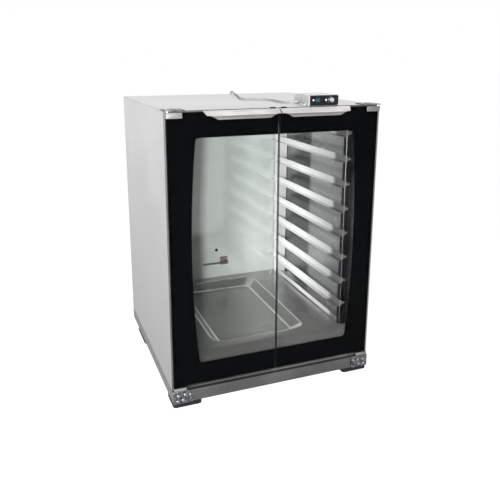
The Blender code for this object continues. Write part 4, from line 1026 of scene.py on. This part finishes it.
def make_controls():
    """The lamps, the lit rocker and the fluted thermostat knob."""
    for node in ("power_lamp", "heat_lamp"):
        low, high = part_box(node)
        spot = ((low.x + high.x) / 2, high.y, CONTROL_LEVEL)
        reach = high.y - low.y
        dome = ((reach - 0.0006, 0.0019), (reach - 0.0001, 0.0011), (reach, 0.0004))
        stations = ((0, 0.0022), (reach - 0.0012, 0.0022), *dome)
        fit(coat(turned(node, stations, spot, TO_FRONT, 28), LAMP_LENS), node)

    centre, half = Vector((0.1215, -0.2412, CONTROL_LEVEL)), Vector((0.00575, 0.0025, 0.00425))
    rocker = block("power_switch", -half, half)
    soften(rocker, 0.0004, 3)
    sink(rocker, lambda face: face.normal.y < -0.999, 0.0008, (0, 0.0003, 0))
    rocker.data.transform(Matrix.Translation(centre) @ Matrix.Rotation(math.radians(-8), 4, "Z"))
    fit(coat(rocker, LIT_ROCKER), "power_switch", "power_switch")

    base = -0.2418
    stations = ((0, 0.0064), (0.0012, 0.0064), (0.0016, 0.0068), (0.0095, 0.0062), (0.0104, 0.0058), (0.0110, 0.0046))
    knob = turned("thermostat_knob", stations, (0, 0, 0), UP, 48)
    flute = lambda face: abs(face.normal.z) < 0.3 and face.calc_center_median().z > 0.003 and round(
        math.degrees(math.atan2(face.normal.y, face.normal.x)) / 7.5 - 0.5) % 2 == 0
    pick(knob, "FACE", flute)
    bpy.ops.mesh.inset(thickness=0.00012, use_individual=True)
    bpy.ops.mesh.extrude_faces_move(TRANSFORM_OT_shrink_fatten={"value": -0.0003})
    rest()
    sink(knob, lambda face: face.normal.z > 0.9 and face.calc_center_median().z > 0.0105, 0.0009, (0, 0, -0.0004))
    shaft = turned("knob_shaft", ((0, 0.0030), (0.0160, 0.0030)), (0, 0, -0.0113), UP, 24)
    pointer = block("knob_pointer", (-0.0004, 0.0014, 0.0102), (0.0004, 0.0058, 0.0113))
    soften(pointer, 0.0001, 1)
    coat(pointer, DIAL_PRINT)
    knob = unite(coat(unite(knob, [shaft]), KNOB_METAL), [pointer])
    knob.data.transform(Matrix.Translation((KNOB_X, base, CONTROL_LEVEL)) @ Matrix.Rotation(math.pi / 2, 4, "X"))
    fit(knob, "thermostat_knob", "thermostat_knob")


def make_probe():
    """The thermostat's bulb along the rear wall, its sheet clip, and the grommet for its capillary."""
    y, z = WALL_FACE - 0.0042, 0.172
    stations = (
        (0, 0.0008), (0.0006, 0.0019), (0.0018, 0.0027), (0.0034, 0.0030), (0.0916, 0.0030), (0.0932, 0.0027),
        (0.0944, 0.0019), (0.0950, 0.0008),
    )
    bulb = coat(turned("temperature_probe", stations, (-0.042, y, z), (1, 0, 0), 24), BULB_METAL)
    centre, width, wall = 0.0365, 0.028, WALL_FACE - 0.0003
    path = ((0, 0.0215), (0, 0.0042), (0.0085, 0.0042), (0.0085, -0.0038), (0.0030, -0.0038))
    line = [(centre - width / 2, wall - out, z + up) for out, up in path]
    clip = folded_sheet("probe_clip", line, (width, 0, 0), 0.0008, 0.0012, -1, 3)
    break_edges(clip, 1, 0.0002)
    coat(clip, BULB_METAL)
    stations = ((0, 0.0052), (0.0012, 0.0052), (0.0020, 0.0042), (0.0020, 0.0024))
    grommet = turned("grommet", stations, (0.010, wall, 0.220), TO_FRONT, 28)
    parts = [clip, coat(grommet, BLACK_RUBBER)]
    for x in (centre - 0.008, centre + 0.008):
        parts.append(screw((x, wall - 0.0006, z + 0.0135), TO_FRONT, 0.0026, x * 100))
    fit(unite(bulb, parts), "temperature_probe")


def make_glands():
    """The small gland in the pod's side, and the nut and domed gland in the rear panel."""
    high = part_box("control_gland")[1]
    y, z = -0.1665, 0.7625
    stations = ((0, 0.0045), (0.0014, 0.0045), (0.0016, 0.0039), (0.0030, 0.0039), (0.0034, 0.0036), (0.0050, 0.0030))
    gland = turned("control_gland", stations, (high.x, y, z), (-1, 0, 0), 28)
    fit(coat(gland, CABLE_SHEATH), "control_gland")

    x, z = 0.0750, 0.640
    nut = turned("rear_gland", ((0, 0.0088), (0.0042, 0.0088), (0.0050, 0.0080)), (x, REAR + 0.0003, z), TO_REAR, 6)
    soften(nut, 0.0004, 2, 40)
    dome = turned(
        "gland_dome", ((0, 0.0062), (0.0052, 0.0062), (0.0068, 0.0058), (0.0084, 0.0044), (0.0088, 0.0030)),
        (x, REAR + 0.0040, z), TO_REAR, 28
    )
    fit(coat(unite(nut, [dome]), BLACK_PLASTIC), "rear_gland")


def make_cable():
    """The grey lead from the pod across the top, over the rear edge and down to its gland."""
    points = smooth_route(CABLE_ROUTE, 0.006)
    curve = bpy.data.curves.new("pod_cable", "CURVE")
    curve.dimensions = "3D"
    curve.bevel_depth = CABLE_DIAMETER / 2
    curve.bevel_resolution = 4
    curve.use_fill_caps = True
    spline = curve.splines.new("POLY")
    spline.points.add(len(points) - 1)
    for point, place in zip(spline.points, points):
        point.co = (*place, 1.0)
    spline.use_smooth = True
    curve.materials.append(CABLE_SHEATH)
    cable = new_object("pod_cable", curve)
    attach(cable, "cabinet")
    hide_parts("control_cable")


def smooth_route(points, step):
    """Points along a smooth curve through a route, about one step apart."""
    route = [Vector(point) for point in points]
    ends = [route[0] * 2 - route[1]] + route + [route[-1] * 2 - route[-2]]
    fine = []
    for a, b, c, d in zip(ends, ends[1:], ends[2:], ends[3:]):
        count = max(1, round((c - b).length / step))
        for number in range(count):
            t = number / count
            bend = (a * 2 - b * 5 + c * 4 - d) * t**2 + (b * 3 - a - c * 3 + d) * t**3
            fine.append((b * 2 + (c - a) * t + bend) / 2)
    fine.append(route[-1])
    return fine


def finish_kept_nodes():
    """The CAD nodes whose shapes stay as they are get their finishes."""
    for node, finish in (
        ("liner_side_left", SIDE_LINER_STEEL), ("liner_side_right", SIDE_LINER_STEEL),
        ("liner_rear", REAR_LINER_STEEL), ("liner_ceiling", REAR_LINER_STEEL),
        ("insulation", WOOL), ("basin_heater", SOOTY_HEATER),
        ("door_border_left", BLACK_ENAMEL), ("door_border_right", BLACK_ENAMEL),
    ):
        coat(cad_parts[node], finish)


# Camera, floor and light


# The surround's light on the pieces, and the glow that keeps the floor paper white for the camera
SOFT_LIGHT, PAPER_GLOW = 0.18, 0.94
# Each lamp's name, place, aim, size and power
LAMPS = (
    ("key_light", (-1.9, -1.7, 2.4), (0, 0, 0.4), 1.6, 25),
    ("lens_light", (-1.02, -2.52, 0.90), (0, 0, 0.4), 0.13, 90),
    ("left_light", (-2.0, -2.4, 1.0), (0.2, 0, 0.4), 1.6, 108),
)


def place_camera():
    data = bpy.data.cameras.new("camera")
    camera = new_object("camera", data)
    pixels = 500
    data.lens = LENS / pixels * data.sensor_width
    data.shift_x = (pixels / 2 - CENTRE_ACROSS) / pixels
    data.shift_y = (CENTRE_DOWN - pixels / 2) / pixels
    camera.location = EYE
    camera.rotation_euler = (math.pi / 2 - TILT, 0, -TURN)
    bpy.context.scene.camera = camera


def seen_strength(tree, unseen, seen_as):
    """One strength for rays of the camera, of gloss and through glass, and another for all other rays."""
    seen = add_node(tree, "LightPath")
    either = seen.outputs["Is Camera Ray"]
    for ray in ("Is Glossy Ray", "Is Transmission Ray"):
        higher = add_node(tree, "Math")
        higher.operation = "MAXIMUM"
        tree.links.new(either, higher.inputs[0])
        tree.links.new(seen.outputs[ray], higher.inputs[1])
        either = higher.outputs["Value"]
    strength = add_node(tree, "MapRange", To_Min=unseen, To_Max=seen_as)
    feed(strength, "Value", either)
    return strength.outputs["Result"]


def light_world():
    """A white surround for the camera and for reflections, and a softer light from it on everything else."""
    bpy.context.scene.view_settings.view_transform = "Standard"
    world = bpy.data.worlds.new("studio")
    bpy.context.scene.world = world
    world.use_nodes = True
    background = world.node_tree.nodes["Background"]
    background.inputs["Color"].default_value = (1, 1, 1, 1)
    feed(background, "Strength", seen_strength(world.node_tree, SOFT_LIGHT, 1.0))


def add_soft_light(name, place, aim, size, power):
    data = bpy.data.lights.new(name, "AREA")
    data.energy = power
    data.size = size
    light = new_object(name, data)
    light.location = place
    light.rotation_euler = (Vector(aim) - Vector(place)).to_track_quat("-Z", "Y").to_euler()


def lay_floor():
    rest()
    bpy.ops.mesh.primitive_plane_add(size=60, location=(0, 0, 0))
    floor = bpy.context.object
    floor.name = "studio_floor"
    paper = moulded("studio_floor", (0.18, 0.18, 0.18), (0.22, 0.22, 0.22), (0.8, 0.95), 40, 0.01, specular=0.05)
    shader = paper.node_tree.nodes["Principled BSDF"]
    shader.inputs["Emission Color"].default_value = (1, 1, 1, 1)
    feed(shader, "Emission Strength", seen_strength(paper.node_tree, 0.0, PAPER_GLOW))
    coat(floor, paper)
    floor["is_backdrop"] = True


place_camera()
make_cable()
SCREW_HEAD = make_screw_head()
make_side_panels()
make_top_panel()
make_rear_panel()
make_chassis()
make_feet()
make_chamber_floor()
make_door_seal()
make_catch()
make_racks()
make_runners()
make_glass_doors()
make_handles()
make_clamps()
make_hinge_brackets()
make_pod_housing()
make_fascia()
make_controls()
make_probe()
make_glands()
finish_kept_nodes()
bpy.data.objects.remove(SCREW_HEAD, do_unlink=True)
lay_floor()
light_world()
for lamp in LAMPS:
    add_soft_light(*lamp)

{"cad": [list(map(float, corner)) for corner in CAD_BOX], "visual": [list(map(float, corner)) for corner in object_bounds()]}
